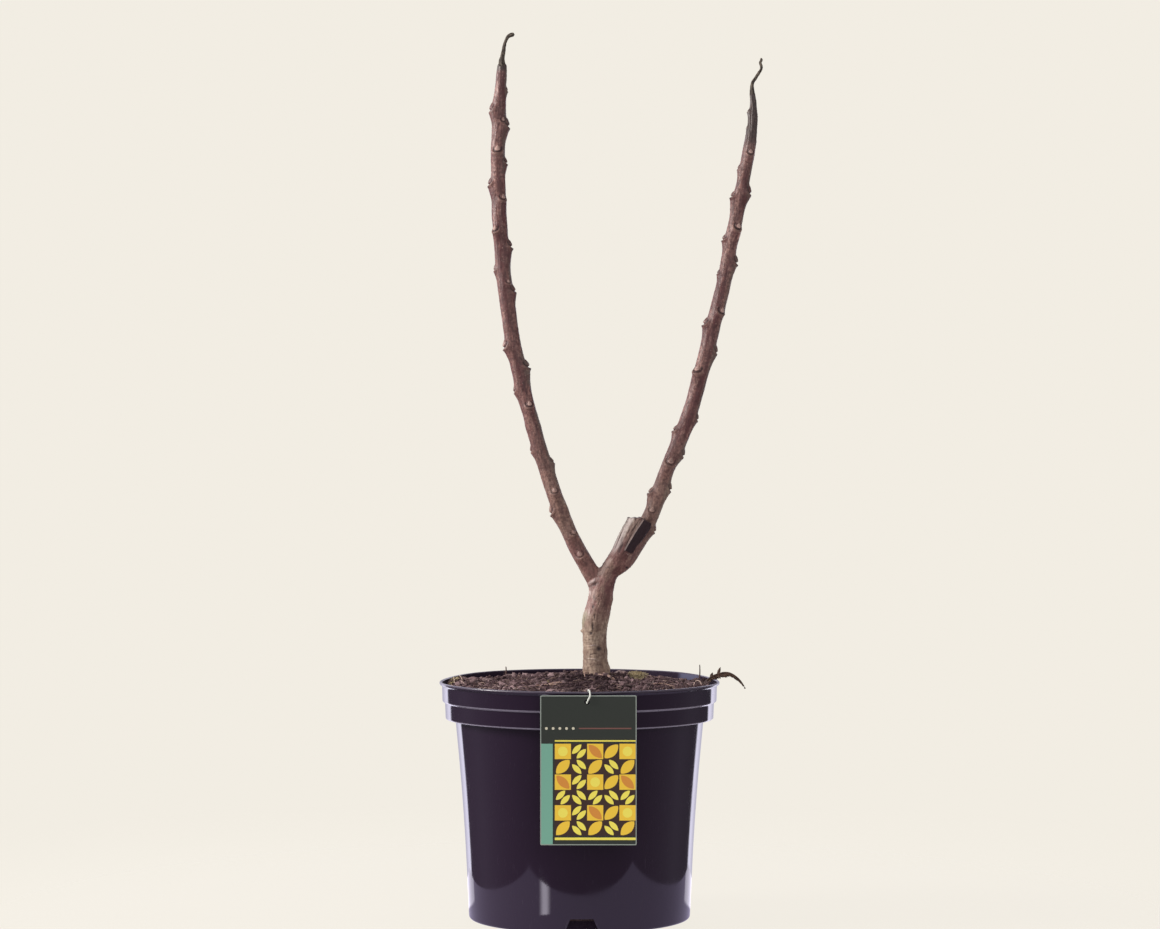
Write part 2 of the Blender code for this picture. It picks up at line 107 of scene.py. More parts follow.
def noiseAt(points, seed):
    # smooth value noise between -1 and 1, one cell to the unit
    if seed not in noiseTables:
        noiseTables[seed] = np.random.default_rng(seed).random((32, 32, 32)) * 2 - 1
    table = noiseTables[seed]
    cell = np.floor(points).astype(int)
    f = points - cell
    f = f * f * (3 - 2 * f)
    lo, hi = cell % 32, (cell + 1) % 32
    x0, y0, z0 = lo[..., 0], lo[..., 1], lo[..., 2]
    x1, y1, z1 = hi[..., 0], hi[..., 1], hi[..., 2]
    fx, fy, fz = f[..., 0], f[..., 1], f[..., 2]
    low = (table[x0, y0, z0] * (1 - fx) + table[x1, y0, z0] * fx) * (1 - fy) \
        + (table[x0, y1, z0] * (1 - fx) + table[x1, y1, z0] * fx) * fy
    high = (table[x0, y0, z1] * (1 - fx) + table[x1, y0, z1] * fx) * (1 - fy) \
        + (table[x0, y1, z1] * (1 - fx) + table[x1, y1, z1] * fx) * fy
    return low * (1 - fz) + high * fz


def fractalAt(points, seed, octaves=3):
    total, size = 0, 1.0
    for k in range(octaves):
        total = total + noiseAt(points * 2 ** k, seed + k) * size
        size *= 0.5
    return total


def ramp(value, low, high):
    t = np.clip((value - low) / (high - low), 0, 1)
    return t * t * (3 - 2 * t)


def makeMesh(name, verts, faces, masks=None, smooth=True):
    # verts in millimetres; masks are values kept on the points for the materials
    mesh = bpy.data.meshes.new(name)
    mesh.from_pydata((np.asarray(verts) * mm).tolist(), [], [list(f) for f in faces])
    for key, values in (masks or {}).items():
        mesh.attributes.new(key, "FLOAT", "POINT").data.foreach_set(
            "value", np.asarray(values, np.float32).ravel())
    if smooth:
        mesh.shade_smooth()
    else:
        mesh.shade_flat()
    mesh.validate()
    return mesh


def addPiece(name, mesh, material, nodes=()):
    piece = bpy.data.objects.new(name, mesh)
    bpy.context.scene.collection.objects.link(piece)
    mesh.materials.clear()
    mesh.materials.append(material)
    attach(piece, "root")
    if nodes:
        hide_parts(*nodes)
    return piece


def ringFaces(rows, cols, start=0):
    i, j = np.meshgrid(np.arange(rows - 1), np.arange(cols), indexing="ij")
    k = (j + 1) % cols
    quads = np.stack([i * cols + j, i * cols + k, (i + 1) * cols + k, (i + 1) * cols + j], -1)
    return (quads.reshape(-1, 4) + start).tolist()


def tubeMesh(rings):
    # rings is rows by cols by 3; both ends close on a middle point
    rows, cols = rings.shape[:2]
    verts = np.concatenate([rings.reshape(-1, 3), rings[:1].mean(axis=1), rings[-1:].mean(axis=1)])
    faces = ringFaces(rows, cols)
    foot, top = rows * cols, rows * cols + 1
    last = (rows - 1) * cols
    for j in range(cols):
        k = (j + 1) % cols
        faces.append([foot, k, j])
        faces.append([top, last + j, last + k])
    return verts, faces


def withCaps(mask):
    flat = np.asarray(mask, float).reshape(-1)
    rows = np.asarray(mask).shape[0]
    cols = flat.size // rows
    return np.concatenate([flat, [flat[:cols].mean(), flat[-cols:].mean()]])


print("tools ready")


# shader groups that several finishes share

def newGroup(name, inputs, outputs):
    tree = bpy.data.node_groups.new(name, "ShaderNodeTree")
    for label, kind, value in inputs:
        socket = tree.interface.new_socket(label, in_out="INPUT", socket_type=kind)
        if value is not None:
            socket.default_value = value
    for label, kind in outputs:
        tree.interface.new_socket(label, in_out="OUTPUT", socket_type=kind)
    return tree, tree.nodes.new("NodeGroupInput"), tree.nodes.new("NodeGroupOutput")


def mathNode(tree, operation, a, b=None, clamp=False):
    node = tree.nodes.new("ShaderNodeMath")
    node.operation = operation
    node.use_clamp = clamp
    for socket, value in zip(node.inputs, (a, b)):
        if value is None:
            continue
        if isinstance(value, (int, float)):
            socket.default_value = value
        else:
            tree.links.new(value, socket)
    return node.outputs[0]


def stretchedPlace(tree, vector, x, y, z):
    node = tree.nodes.new("ShaderNodeMapping")
    node.inputs["Scale"].default_value = (x, y, z)
    tree.links.new(vector, node.inputs["Vector"])
    return node.outputs[0]


def noiseNode(tree, vector, scale, detail=4.0, roughness=0.55, distortion=0.0):
    node = tree.nodes.new("ShaderNodeTexNoise")
    node.inputs["Detail"].default_value = detail
    node.inputs["Roughness"].default_value = roughness
    node.inputs["Distortion"].default_value = distortion
    if isinstance(scale, (int, float)):
        node.inputs["Scale"].default_value = scale
    else:
        tree.links.new(scale, node.inputs["Scale"])
    tree.links.new(vector, node.inputs["Vector"])
    return node.outputs["Fac"]


def rangeNode(tree, value, low, high, toLow=0.0, toHigh=1.0):
    node = tree.nodes.new("ShaderNodeMapRange")
    node.interpolation_type = "SMOOTHSTEP"
    for label, number in (("From Min", low), ("From Max", high), ("To Min", toLow), ("To Max", toHigh)):
        node.inputs[label].default_value = number
    tree.links.new(value, node.inputs["Value"])
    return node.outputs["Result"]


def mixColor(tree, factor, a, b, blend="MIX"):
    node = tree.nodes.new("ShaderNodeMix")
    node.data_type = "RGBA"
    node.blend_type = blend
    for socket, value in ((node.inputs[0], factor), (node.inputs[6], a), (node.inputs[7], b)):
        if isinstance(value, (int, float)):
            socket.default_value = value
        elif isinstance(value, tuple):
            socket.default_value = (*value, 1.0)
        else:
            tree.links.new(value, socket)
    return node.outputs[2]


def barkGrainGroup():
    # fine stringy grain along the stem: a height and a tone
    tree, gin, gout = newGroup("barkGrain", [("Scale", "NodeSocketFloat", 300.0)],
                               [("Height", "NodeSocketFloat"), ("Tone", "NodeSocketFloat")])
    place = tree.nodes.new("ShaderNodeTexCoord").outputs["Object"]
    strings = noiseNode(tree, stretchedPlace(tree, place, 1.0, 1.0, 0.22), gin.outputs["Scale"], 5.0, 0.62, 0.4)
    grit = noiseNode(tree, place, mathNode(tree, "MULTIPLY", gin.outputs["Scale"], 2.6), 3.0, 0.6)
    height = mathNode(tree, "ADD", mathNode(tree, "MULTIPLY", strings, 0.7), mathNode(tree, "MULTIPLY", grit, 0.3))
    tree.links.new(height, gout.inputs["Height"])
    tree.links.new(rangeNode(tree, strings, 0.3, 0.7), gout.inputs["Tone"])
    return tree


def blotchGroup():
    # two sizes of soft blotches, for colour that wanders over a surface
    tree, gin, gout = newGroup("blotches", [("Scale", "NodeSocketFloat", 40.0)],
                               [("Large", "NodeSocketFloat"), ("Small", "NodeSocketFloat")])
    place = tree.nodes.new("ShaderNodeTexCoord").outputs["Object"]
    large = noiseNode(tree, place, gin.outputs["Scale"], 2.0, 0.5)
    small = noiseNode(tree, place, mathNode(tree, "MULTIPLY", gin.outputs["Scale"], 7.0), 3.0, 0.55)
    tree.links.new(rangeNode(tree, large, 0.35, 0.65), gout.inputs["Large"])
    tree.links.new(rangeNode(tree, small, 0.38, 0.66), gout.inputs["Small"])
    return tree


def edgeWearGroup():
    # picks out raised edges, broken up by a little noise
    tree, gin, gout = newGroup("edgeWear", [("Amount", "NodeSocketFloat", 1.0)], [("Mask", "NodeSocketFloat")])
    point = tree.nodes.new("ShaderNodeNewGeometry").outputs["Pointiness"]
    place = tree.nodes.new("ShaderNodeTexCoord").outputs["Object"]
    edge = rangeNode(tree, point, 0.52, 0.6)
    broken = mathNode(tree, "MULTIPLY", edge, rangeNode(tree, noiseNode(tree, place, 220.0), 0.35, 0.6))
    tree.links.new(mathNode(tree, "MULTIPLY", broken, gin.outputs["Amount"], True), gout.inputs["Mask"])
    return tree


groups = {"grain": barkGrainGroup(), "blotch": blotchGroup(), "wear": edgeWearGroup()}


def useGroup(tree, key, **values):
    node = tree.nodes.new("ShaderNodeGroup")
    node.node_tree = groups[key]
    for label, value in values.items():
        node.inputs[label].default_value = value
    return node.outputs


def maskNode(tree, name):
    node = tree.nodes.new("ShaderNodeAttribute")
    node.attribute_name = name
    return node.outputs["Fac"]


def newFinish(name, roughness=0.8, specular=0.5):
    material = bpy.data.materials.new(name)
    material.use_nodes = True
    tree = material.node_tree
    shader = tree.nodes["Principled BSDF"]
    shader.inputs["Roughness"].default_value = roughness
    shader.inputs["Specular IOR Level"].default_value = specular
    return material, tree, shader


def addBump(tree, shader, height, strength, distance):
    bump = tree.nodes.new("ShaderNodeBump")
    bump.inputs["Strength"].default_value = strength
    bump.inputs["Distance"].default_value = distance
    tree.links.new(height, bump.inputs["Height"])
    tree.links.new(bump.outputs["Normal"], shader.inputs["Normal"])


print("shader groups ready")

# bark of every age, told apart by masks on the points

bark = {
    "young": (0.270, 0.128, 0.112),
    "youngPale": (0.440, 0.245, 0.212),
    "youngDark": (0.085, 0.036, 0.036),
    "maroon": (0.105, 0.024, 0.030),
    "old": (0.330, 0.222, 0.162),
    "oldPale": (0.530, 0.400, 0.305),
    "oldDark": (0.120, 0.060, 0.048),
    "rose": (0.290, 0.136, 0.122),
    "grey": (0.450, 0.395, 0.355),
    "greyDark": (0.130, 0.086, 0.076),
    "scar": (0.024, 0.012, 0.014),
    "bud": (0.600, 0.400, 0.350),
    "lip": (0.290, 0.170, 0.135),
    "lenticel": (0.460, 0.300, 0.255),
    # dull: colour of the painted grey shade on the boughs' right sides
    "dull": (0.150, 0.118, 0.100),
    "algae": (0.27, 0.28, 0.17),
    "wound": (0.022, 0.007, 0.013),
    # callus colour, also used for painted highlights on the trunk and stub
    "callusAndHighlight": (0.72, 0.60, 0.58),
    "withered": (0.066, 0.050, 0.046),
    "grain": (0.050, 0.020, 0.020),
    "grainScale": 420.0,
}


def barkFinish():
    material, tree, shader = newFinish("barkFinish", 0.7, 0.5)
    grain = useGroup(tree, "grain", Scale=bark["grainScale"])
    blotch = useGroup(tree, "blotch", Scale=55.0)
    wear = useGroup(tree, "wear", Amount=0.5)
    # the streak mask is paler streaks in the bark plus, near the left bough's top, a painted highlight
    pale = mathNode(tree, "MULTIPLY", maskNode(tree, "streak"), 0.75)
    young = mixColor(tree, pale, bark["young"], bark["youngPale"])
    young = mixColor(tree, mathNode(tree, "MULTIPLY", blotch["Large"], 0.42), young, bark["youngDark"])
    # the blush mask is maroon streaks plus, near the left bough's top, a painted shade stripe
    young = mixColor(tree, mathNode(tree, "MULTIPLY", maskNode(tree, "blush"), 0.7), young, bark["maroon"])
    young = mixColor(tree, mathNode(tree, "MULTIPLY", blotch["Small"], 0.75), young, bark["youngDark"])
    # the dull mask is painted grey shade down the boughs' right sides
    young = mixColor(tree, mathNode(tree, "MULTIPLY", maskNode(tree, "dull"), 0.75), young, bark["dull"])
    old = mixColor(tree, blotch["Large"], bark["old"], bark["oldPale"])
    old = mixColor(tree, maskNode(tree, "rose"), old, bark["rose"])
    old = mixColor(tree, mathNode(tree, "MULTIPLY", blotch["Small"], 0.5), old, bark["oldDark"])
    color = mixColor(tree, maskNode(tree, "age"), young, old)
    grey = mixColor(tree, mathNode(tree, "MULTIPLY", blotch["Small"], 0.6), bark["grey"], bark["greyDark"])
    # the node mask is maroon about the leaf scars plus painted shade on the trunk's and stub's right sides
    color = mixColor(tree, mathNode(tree, "MULTIPLY", maskNode(tree, "node"), 0.7), color, bark["maroon"])
    # the grey mask is the stub's grey weathering, strongest on its lit side as a partly painted highlight
    color = mixColor(tree, maskNode(tree, "grey"), color, grey)
    color = mixColor(tree, mathNode(tree, "MULTIPLY", grain["Tone"], 0.42), color, bark["grain"])
    # the callus mask also carries painted highlights on the trunk's and stub's left sides
    for mask in ("withered", "algae", "lenticel", "lip", "bud", "scar", "wound", "callusAndHighlight"):
        share = 0.5 if mask == "lip" else 0.92
        color = mixColor(tree, mathNode(tree, "MULTIPLY", maskNode(tree, mask), share), color, bark[mask])
    color = mixColor(tree, wear["Mask"], color, bark["youngPale"])
    tree.links.new(color, shader.inputs["Base Color"])
    rough = mathNode(tree, "ADD", mathNode(tree, "MULTIPLY", grain["Tone"], 0.2), 0.42)
    rough = mathNode(tree, "ADD", rough, mathNode(tree, "MULTIPLY", maskNode(tree, "age"), 0.12))
    tree.links.new(rough, shader.inputs["Roughness"])
    addBump(tree, shader, grain["Height"], 0.5, 0.0008)
    return material


barkMaterial = barkFinish()

# leaf scars, lenticels and wrinkles, as a relief on any limb

scarShape = {"stand": 2.5, "peak": -4.8, "across": 5.0, "above": 5.8, "below": 7.8, "ring": 3.75,
             "ringWide": 0.72, "groove": 0.8, "lip": 1.1, "lipAt": 5.1, "hang": 0.6, "budStand": 1.25,
             "budWide": 2.0, "budTall": 3.3, "budRise": 2.4, "spread": 0.2, "reach": 26.0, "seed": 7}


def scarPlaces(line, scars):
    # where each scar sits: run along the limb, facing in radians, size, sharpness of lip, paleness of bud
    dice = random.Random(scarShape["seed"] + len(scars))
    heights = line["centre"][:, 2]
    out = []
    for height, facing, *look in scars:
        rolled = (1 + scarShape["spread"] * dice.uniform(-1, 0.7), dice.random(), 0.6 * dice.random())
        if heights[0] <= height <= heights[-1]:
            out.append((float(np.interp(height, heights, line["run"])), math.radians(facing), *(look or rolled)))
    return out


def scarRelief(run, angle, radius, places):
    # a swollen cushion with a bud in a dark ring, open at its top, and a lip below the ring
    s = scarShape
    rise = np.zeros_like(run)
    masks = {key: np.zeros_like(run) for key in ("scar", "bud", "lip", "node")}
    for at, facing, size, sharp, pale in places:
        near = np.abs(run - at) < s["reach"]
        slim = np.minimum(1.0, radius[near] / 7.0) * size
        b = (run[near] - at) / slim
        a = ((angle[near] - facing + math.pi) % tau - math.pi) * radius[near] / slim
        up = b - s["budRise"]
        away = np.hypot(a, up)
        down = -up / np.maximum(away, 0.1)
        peak = up - s["peak"]
        tall = np.where(peak > 0, s["above"], s["below"] * (0.8 + 0.4 * sharp))
        cushion = s["stand"] * np.exp(-0.9 * (a / s["across"]) ** 2 - (peak / tall) ** 2)
        ring = np.exp(-((away - s["ring"]) / s["ringWide"]) ** 2) * ramp(down, -0.75, -0.1)
        crest = np.where(away < s["lipAt"], 1.25 - 0.5 * sharp, 1.8)
        lip = np.exp(-((away - s["lipAt"]) / crest) ** 2) * ramp(down, -0.1, 0.7)
        t = (up + 0.6) / np.where(up > -0.6, s["budTall"], 2.4)
        wide = s["budWide"] * (1 - 0.45 * np.clip(t, 0, 1))
        dome = np.sqrt(np.clip(1 - (a / wide) ** 2 - t * t, 0, 1))
        lift = cushion - s["groove"] * ring + s["lip"] * (0.2 + sharp) * lip
        lift = lift + s["budStand"] * (0.4 + 0.6 * sharp) * dome
        rise[near] = np.maximum(rise[near], lift * slim)
        core = np.exp(-((away - 1.0) / 0.7) ** 2) * (0.85 - 0.6 * pale)
        tip = 0.7 * ramp(lift, 2.5, 3.5) * (1 - pale) + 0.3 * lip * ramp(lift, 2.2, 3.4)
        strong = 0.35 + 0.65 * max(sharp, pale)
        shown = {"scar": np.maximum(strong * np.maximum(ring * (1 - ramp(dome, 0.1, 0.4)), core), tip),
                 "bud": ramp(dome, 0.15, 0.6) * pale, "lip": lip * (0.4 + 0.6 * pale),
                 "node": np.exp(-((b + 3) / 10.0) ** 2) * (0.3 + 0.5 * sharp) * (0.45 + 0.55 * np.exp(-(a / 8.5) ** 2))}
        for key, value in shown.items():
            masks[key][near] = np.maximum(masks[key][near], value)
    masks["node"] *= ramp(noiseAt(np.stack([angle * 1.6, radius * 0, run * 0.35], -1), 33), -0.5, 0.3)
    return rise, masks


def spotField(run, angle, radius, pitch, around, seed):
    # distance to the nearest of many scattered spots, in spot sizes, and that spot's own number
    table = np.random.default_rng(seed).random((512, around, 4))
    u = (angle / tau) % 1.0 * around
    v = run / pitch
    iu, iv = np.floor(u).astype(int), np.floor(v).astype(int)
    best = np.full(run.shape, 9.0)
    own = np.zeros_like(run)
    for di in (-1, 0, 1):
        for dj in (-1, 0, 1):
            spot = table[(iv + di) % 512, (iu + dj) % around]
            across = (u - (iu + dj) - 0.15 - 0.7 * spot[..., 0]) * tau * radius / around
            along = (v - (iv + di) - 0.15 - 0.7 * spot[..., 1]) * pitch
            size = 0.35 + 0.55 * spot[..., 2]
            far = np.hypot(across / (0.75 * size), along / size)
            own = np.where(far < best, spot[..., 3], own)
            best = np.minimum(best, far)
    return best, own


def youngRelief(run, angle, radius, places, seed):
    # rise in millimetres and the masks of a young bough
    place = np.stack([radius * np.cos(angle), radius * np.sin(angle), run], -1)
    rise, masks = scarRelief(run, angle, radius, places)
    swell = 0.55 * noiseAt(place * [0.11, 0.11, 0.07] + seed, seed)
    strings = 0.15 * fractalAt(place * [0.9, 0.9, 0.12] + seed, seed + 3)
    wrinkle = 0.10 * fractalAt(place * [0.5, 0.5, 1.6], seed + 9, 2)
    spots, own = spotField(run, angle, radius, 3.6, 12, seed + 20)
    bare = 1 - np.clip(masks["scar"] + masks["bud"] + masks["lip"], 0, 1)
    lenticel = (1 - ramp(spots, 0.4, 1.1)) * (own > 0.6) * bare
    rise = rise + (swell + strings + wrinkle) * (0.4 + 0.6 * bare) + 0.22 * lenticel
    masks["lenticel"] = lenticel * (0.1 + 0.4 * own)
    # painted grey shade along each bough's right side
    edge = ramp(np.cos(angle + 0.15), 0.62, 0.9)
    masks["dull"] = edge * ramp(fractalAt(place * [0.2, 0.2, 0.05] + seed, seed + 16), -0.6, 0.2)
    masks["streak"] = ramp(fractalAt(place * [0.36, 0.36, 0.06] + seed, seed + 5), -0.1, 0.6)
    masks["blush"] = ramp(fractalAt(place * [0.24, 0.24, 0.030] + seed, seed + 12), 0.0, 0.6)
    return rise, masks


boughs = {
    "leftBough": {
        "stations": [(19.0, 0.0, 331.0, 15.0), (12.5, 0.0, 342.0, 16.8), (-6.5, -2.0, 376.7, 16.2),
                     (-20.0, -4.0, 408.7, 15.4), (-37.3, -7.0, 460.7, 15.0), (-56.3, -10.0, 528.7, 15.0),
                     (-70.5, -11.0, 600.7, 15.0), (-78.5, -9.0, 676.7, 14.8), (-81.5, -6.0, 751.7, 13.4),
                     (-80.3, -4.0, 797.0, 13.6), (-79.6, -3.0, 816.0, 13.3), (-78.2, -2.0, 838.0, 10.8),
                     (-77.5, -2.0, 852.4, 9.6)],
        "scars": [(362, 270), (382, 300, 0.8, 0.6, 0.5), (408, 180, 1.15, 0.8, 0.5), (425, 282, 0.9, 0.4, 0.55),
                  (439, 100), (453, 0, 0.9, 0.2, 0.1), (469, 180, 0.85, 0.3, 0.2), (489, 80),
                  (511, 288, 0.9, 0.5, 0.9), (528, 180, 0.85, 0.4, 0.2), (549, 0, 1.25, 1.0, 0.2),
                  (572, 185, 1.15, 0.9, 0.7), (589, 90), (608, 60), (625, 345, 1.1, 0.5, 0.1),
                  (633, 300, 0.6, 0.4, 0.8), (648, 180, 0.8, 0.3, 0.3), (670, 5, 1.2, 1.0, 0.2),
                  (686, 232, 0.95, 0.6, 0.9), (701, 90), (717, 308, 0.9, 0.5, 0.7), (733, 180, 1.1, 0.9, 0.2),
                  (754, 0, 0.95, 1.0, 0.1), (765, 268, 1.1, 0.7, 0.95), (778, 90), (792, 5, 1.4, 0.7, 0.0),
                  (795, 305, 0.7, 0.2, 0.8), (807, 180, 1.35, 0.25, 0.0), (818, 100), (827, 0, 0.75, 0.2, 0.3)],
        "node": "left_bough", "seam": 392.0, "witherFrom": 842.0, "witherTo": 849.0, "paintedLightFrom": 812.0, "seed": 31, "paler": 0.1, "dusky": (640, 716, 0.95),
    },
    "rightBough": {
        "stations": [(38.0, 1.0, 350.0, 13.0), (45.0, 5.5, 355.0, 15.0), (54.5, 10.5, 367.5, 16.0),
                     (64.0, 12.5, 384.7, 16.2), (74.5, 12.0, 408.7, 15.2), (88.5, 11.0, 448.7, 15.0),
                     (108.5, 10.0, 496.7, 15.2), (122.4, 9.0, 544.7, 15.2), (138.4, 8.0, 608.7, 14.6), (144.6, 7.6, 634.0, 13.6),
                     (152.3, 7.0, 676.7, 13.9), (166.9, 5.0, 750.7, 13.0), (172.4, 4.0, 786.0, 11.4),
                     (173.6, 3.0, 802.0, 10.0), (174.0, 3.0, 809.0, 8.2), (173.8, 3.0, 817.0, 6.6),
                     (172.9, 3.0, 825.0, 6.0)],
        "scars": [(390, 0, 0.9, 0.7, 0.2), (405, 262, 0.9, 0.4, 0.6), (422, 180, 1.0, 0.8, 0.2),
                  (431, 0, 1.1, 0.7, 0.1), (441, 90), (454, 270), (466, 0), (484, 180), (501, 0), (516, 90),
                  (531, 110), (545, 232, 1.15, 0.6, 0.9), (568, 0, 1.1, 0.4, 0.0), (581, 90),
                  (592, 180, 1.15, 0.9, 0.3), (606, 305, 0.95, 0.6, 0.9), (625, 80), (643, 180, 0.65, 0.7, 0.1),
                  (657, 0, 1.2, 0.9, 0.1), (677, 180, 0.9, 0.9, 0.1), (690, 300, 1.0, 0.6, 1.0), (705, 90),
                  (720, 180, 1.0, 1.0, 0.2), (727, 0, 1.3, 0.4, 0.0), (748, 180, 0.8, 0.2, 0.1),
                  (764, 285, 0.9, 0.5, 0.9), (777, 60), (789, 180, 0.5, 0.2, 0.1), (806, 180, 0.8, 0.3, 0.1)],
        "node": "right_bough", "seam": 417.0, "witherFrom": 756.0, "witherTo": 788.0, "paintedLightFrom": 2000.0, "seed": 53, "paler": 0.38, "dusky": (432, 530, 0.5),
    },
}
boughGrid = {"step": 0.52, "around": 92, "endRound": 2.6, "lobe": 1.9}


def agedAt(height):
    # the feet of the boughs are partly clad in old bark
    return 0.4 * ramp(height, 490, 400) + 0.6 * ramp(height, 366, 345)


def makeBough(name, spec):
    line = limbLine(spec["stations"], boughGrid["step"])
    keep = line["centre"][:, 2] >= spec["seam"]
    places = scarPlaces(line, spec["scars"])
    run = line["run"][keep][:, None]
    radius = line["radius"][keep][:, None]
    angle = np.linspace(0, tau, boughGrid["around"], endpoint=False)[None, :]
    run, angle2, radius = (v.copy() for v in np.broadcast_arrays(run, angle, radius))
    rise, masks = youngRelief(run, angle2, radius, places, spec["seed"])
    height = np.broadcast_to(line["centre"][keep][:, 2:3], run.shape)
    wither = ramp(height, spec["witherFrom"], spec["witherTo"])
    place = np.stack([radius * np.cos(angle2), radius * np.sin(angle2), run * 0.12], -1)
    rise = rise - wither * 0.9 * np.abs(noiseAt(place * 0.55, spec["seed"] + 40))
    # the top end is rounded off in two low lobes
    left = np.clip((run.max() - run) / boughGrid["endRound"], 0, 1)
    ended = np.sqrt(np.clip(1 - (1 - left) ** 2, 0.01, 1))
    lobes = boughGrid["lobe"] * (1 - left) * np.cos(2 * angle2)
    way = line["way"][keep][:, None, :]
    right, back = sideAxes(line["way"][keep])
    out = np.cos(angle)[..., None] * right[:, None, :] + np.sin(angle)[..., None] * back[:, None, :]
    along = lobes - scarShape["hang"] * masks["lip"]
    rings = line["centre"][keep][:, None, :] + out * ((radius + rise) * ended)[..., None] + way * along[..., None]
    verts, faces = tubeMesh(rings)
    masks["withered"] = wither
    low, high, share = spec["dusky"]
    masks["node"] = np.maximum(masks["node"], share * ramp(height, low, low + 14) * ramp(height, high, high - 14)
                               * ramp(noiseAt(place * [0.3, 0.3, 1.2], spec["seed"] + 6), -0.5, 0.3))
    masks["age"] = agedAt(height)
    # painted light near the top of the left bough: a painted highlight up its left-front side and a painted shade
    # stripe down its front
    paintedLightSpan = ramp(height, spec["paintedLightFrom"], spec["paintedLightFrom"] + 8) * (1 - wither)
    masks["streak"] = np.maximum(masks["streak"] + spec["paler"], 1.25 * paintedLightSpan * ramp(np.cos(angle2 - math.radians(215)), 0.2, 0.7))
    masks["blush"] = np.maximum(masks["blush"], paintedLightSpan * ramp(np.cos(angle2 - math.radians(292)), 0.7, 0.95))
    mesh = makeMesh(name, verts, faces, {k: withCaps(v) for k, v in masks.items()})
    return addPiece(name, mesh, barkMaterial, (spec["node"],))


for name, spec in boughs.items():
    makeBough(name, spec)
print("boughs ready")

# the old stem: trunk, fork and sawn stub in one skin, with the feet of both boughs grown on

oldStem = {
    "stations": [(17.0, 0.0, 236.0, 27.0), (16.8, 0.0, 245.0, 25.8), (16.0, 0.0, 252.0, 24.4),
                 (15.4, 0.0, 268.0, 23.6), (15.4, 0.0, 286.0, 24.2), (16.4, 0.0, 300.0, 25.8),
                 (20.4, 0.0, 315.0, 24.4), (23.0, 0.0, 329.0, 23.6), (29.8, 0.0, 346.0, 18.8),
                 (37.0, -1.0, 356.6, 19.0), (42.4, -1.6, 364.6, 20.4), (50.2, -2.0, 379.4, 22.2),
                 (55.6, -2.0, 388.4, 23.2), (62.8, -2.0, 399.6, 23.4), (67.0, -2.0, 406.0, 23.4)],
    "foot": 240.0, "top": 398.9, "slopeAt": (62.0, 398.3), "slopeWay": (0.463, 0.886),
    "sliceFoot": 363.5, "sliceFacing": 322.0, "sliceFar": 7.7, "sliceRound": 0.075, "sliceUp": 3.2, "darkBesideTo": [(368, 53.0), (370.7, 57.0), (378.7, 65.0), (386.7, 70.0), (394.7, 73.4), (403, 76.6)],
    "fillet": 5.0, "collar": 8.0, "joint": 1.2, "voxel": 0.53,
    # marks on the front: side, height, half width, half height, lift, dark, pale and slant; dark and pale are partly
    # each mark's own colour, partly painted shade under ridges and painted highlight on them
    "marks": [(14.4, 336.4, 6.8, 2.0, 0.9, 0.0, 0.6, 0.5), (15.0, 332.8, 5.4, 1.5, -0.6, 0.8, 0.0, 0.45),
              (11.6, 284.2, 1.6, 1.7, -0.6, 1.0, 0.0, 0), (14.5, 272.2, 5.3, 0.5, 0.5, 0.0, 0.6, 0.05),
              (19.4, 268.6, 2.5, 2.3, -0.6, 1.0, 0.0, 0), (47.4, 349.0, 1.4, 1.3, -0.4, 1.0, 0.0, 0),
              (13.4, 311.0, 0.9, 2.4, -0.4, 0.9, 0.0, 0), (14.6, 320.0, 0.8, 2.3, -0.3, 0.9, 0.0, 0),
              (13.2, 291.0, 1.0, 5.0, -0.5, 0.85, 0.0, 0), (15.0, 301.0, 0.7, 2.8, -0.3, 0.9, 0.0, 0),
              (13.0, 258.6, 6.0, 0.5, 0.4, 0.0, 0.5, -0.1), (15.0, 263.6, 6.0, 0.5, -0.3, 0.7, 0.0, 0.1),
              (17.5, 252.5, 7.0, 0.5, -0.3, 0.7, 0.0, 0.08), (12.0, 277.6, 4.5, 0.5, -0.3, 0.6, 0.0, -0.1),
              (9.6, 305.0, 0.8, 3.5, 0.3, 0.0, 0.6, 0), (11.0, 324.0, 0.9, 3.0, 0.3, 0.0, 0.6, 0),
              (49.0, 399.0, 1.6, 1.4, 0.9, 0.8, 0.0, 0), (55.0, 399.0, 1.9, 1.2, 0.7, 0.8, 0.0, 0),
              (60.2, 398.6, 1.3, 1.1, 0.8, 0.7, 0.0, 0)],
    # bumps that show on the outline: facing, height, spread, stand
    "bumps": [(180, 285.8, 1.5, 2.0), (0, 250.0, 5.0, 0.9), (185, 246.0, 6.0, 0.8), (330, 246.0, 7.0, 1.2),
              (0, 349.0, 3.0, 1.3), (200, 330.0, 4.0, 0.8), (355, 317.0, 3.0, 0.7)],
}


def nearestOn(points, line):
    # distance to a limb's axis, its radius, run and facing there
    centre = line["centre"]
    away = (centre ** 2).sum(1)[None, :] - 2 * points @ centre.T
    middle = np.clip(np.argmin(away, axis=1), 1, len(centre) - 2)
    best = np.full(len(points), 1e9)
    index, share = middle.copy(), np.zeros(len(points))
    for first in (middle - 1, middle):
        a, ab = centre[first], centre[first + 1] - centre[first]
        t = np.clip(((points - a) * ab).sum(1) / (ab ** 2).sum(1), 0, 1)
        far = ((points - a - t[:, None] * ab) ** 2).sum(1)
        closer = far < best
        best[closer], index[closer], share[closer] = far[closer], first[closer], t[closer]

    def between(values):
        t = share if values.ndim == 1 else share[:, None]
        return values[index] * (1 - t) + values[index + 1] * t

    return np.sqrt(best), between(line["radius"]), between(line["run"]), between(centre), between(line["way"])


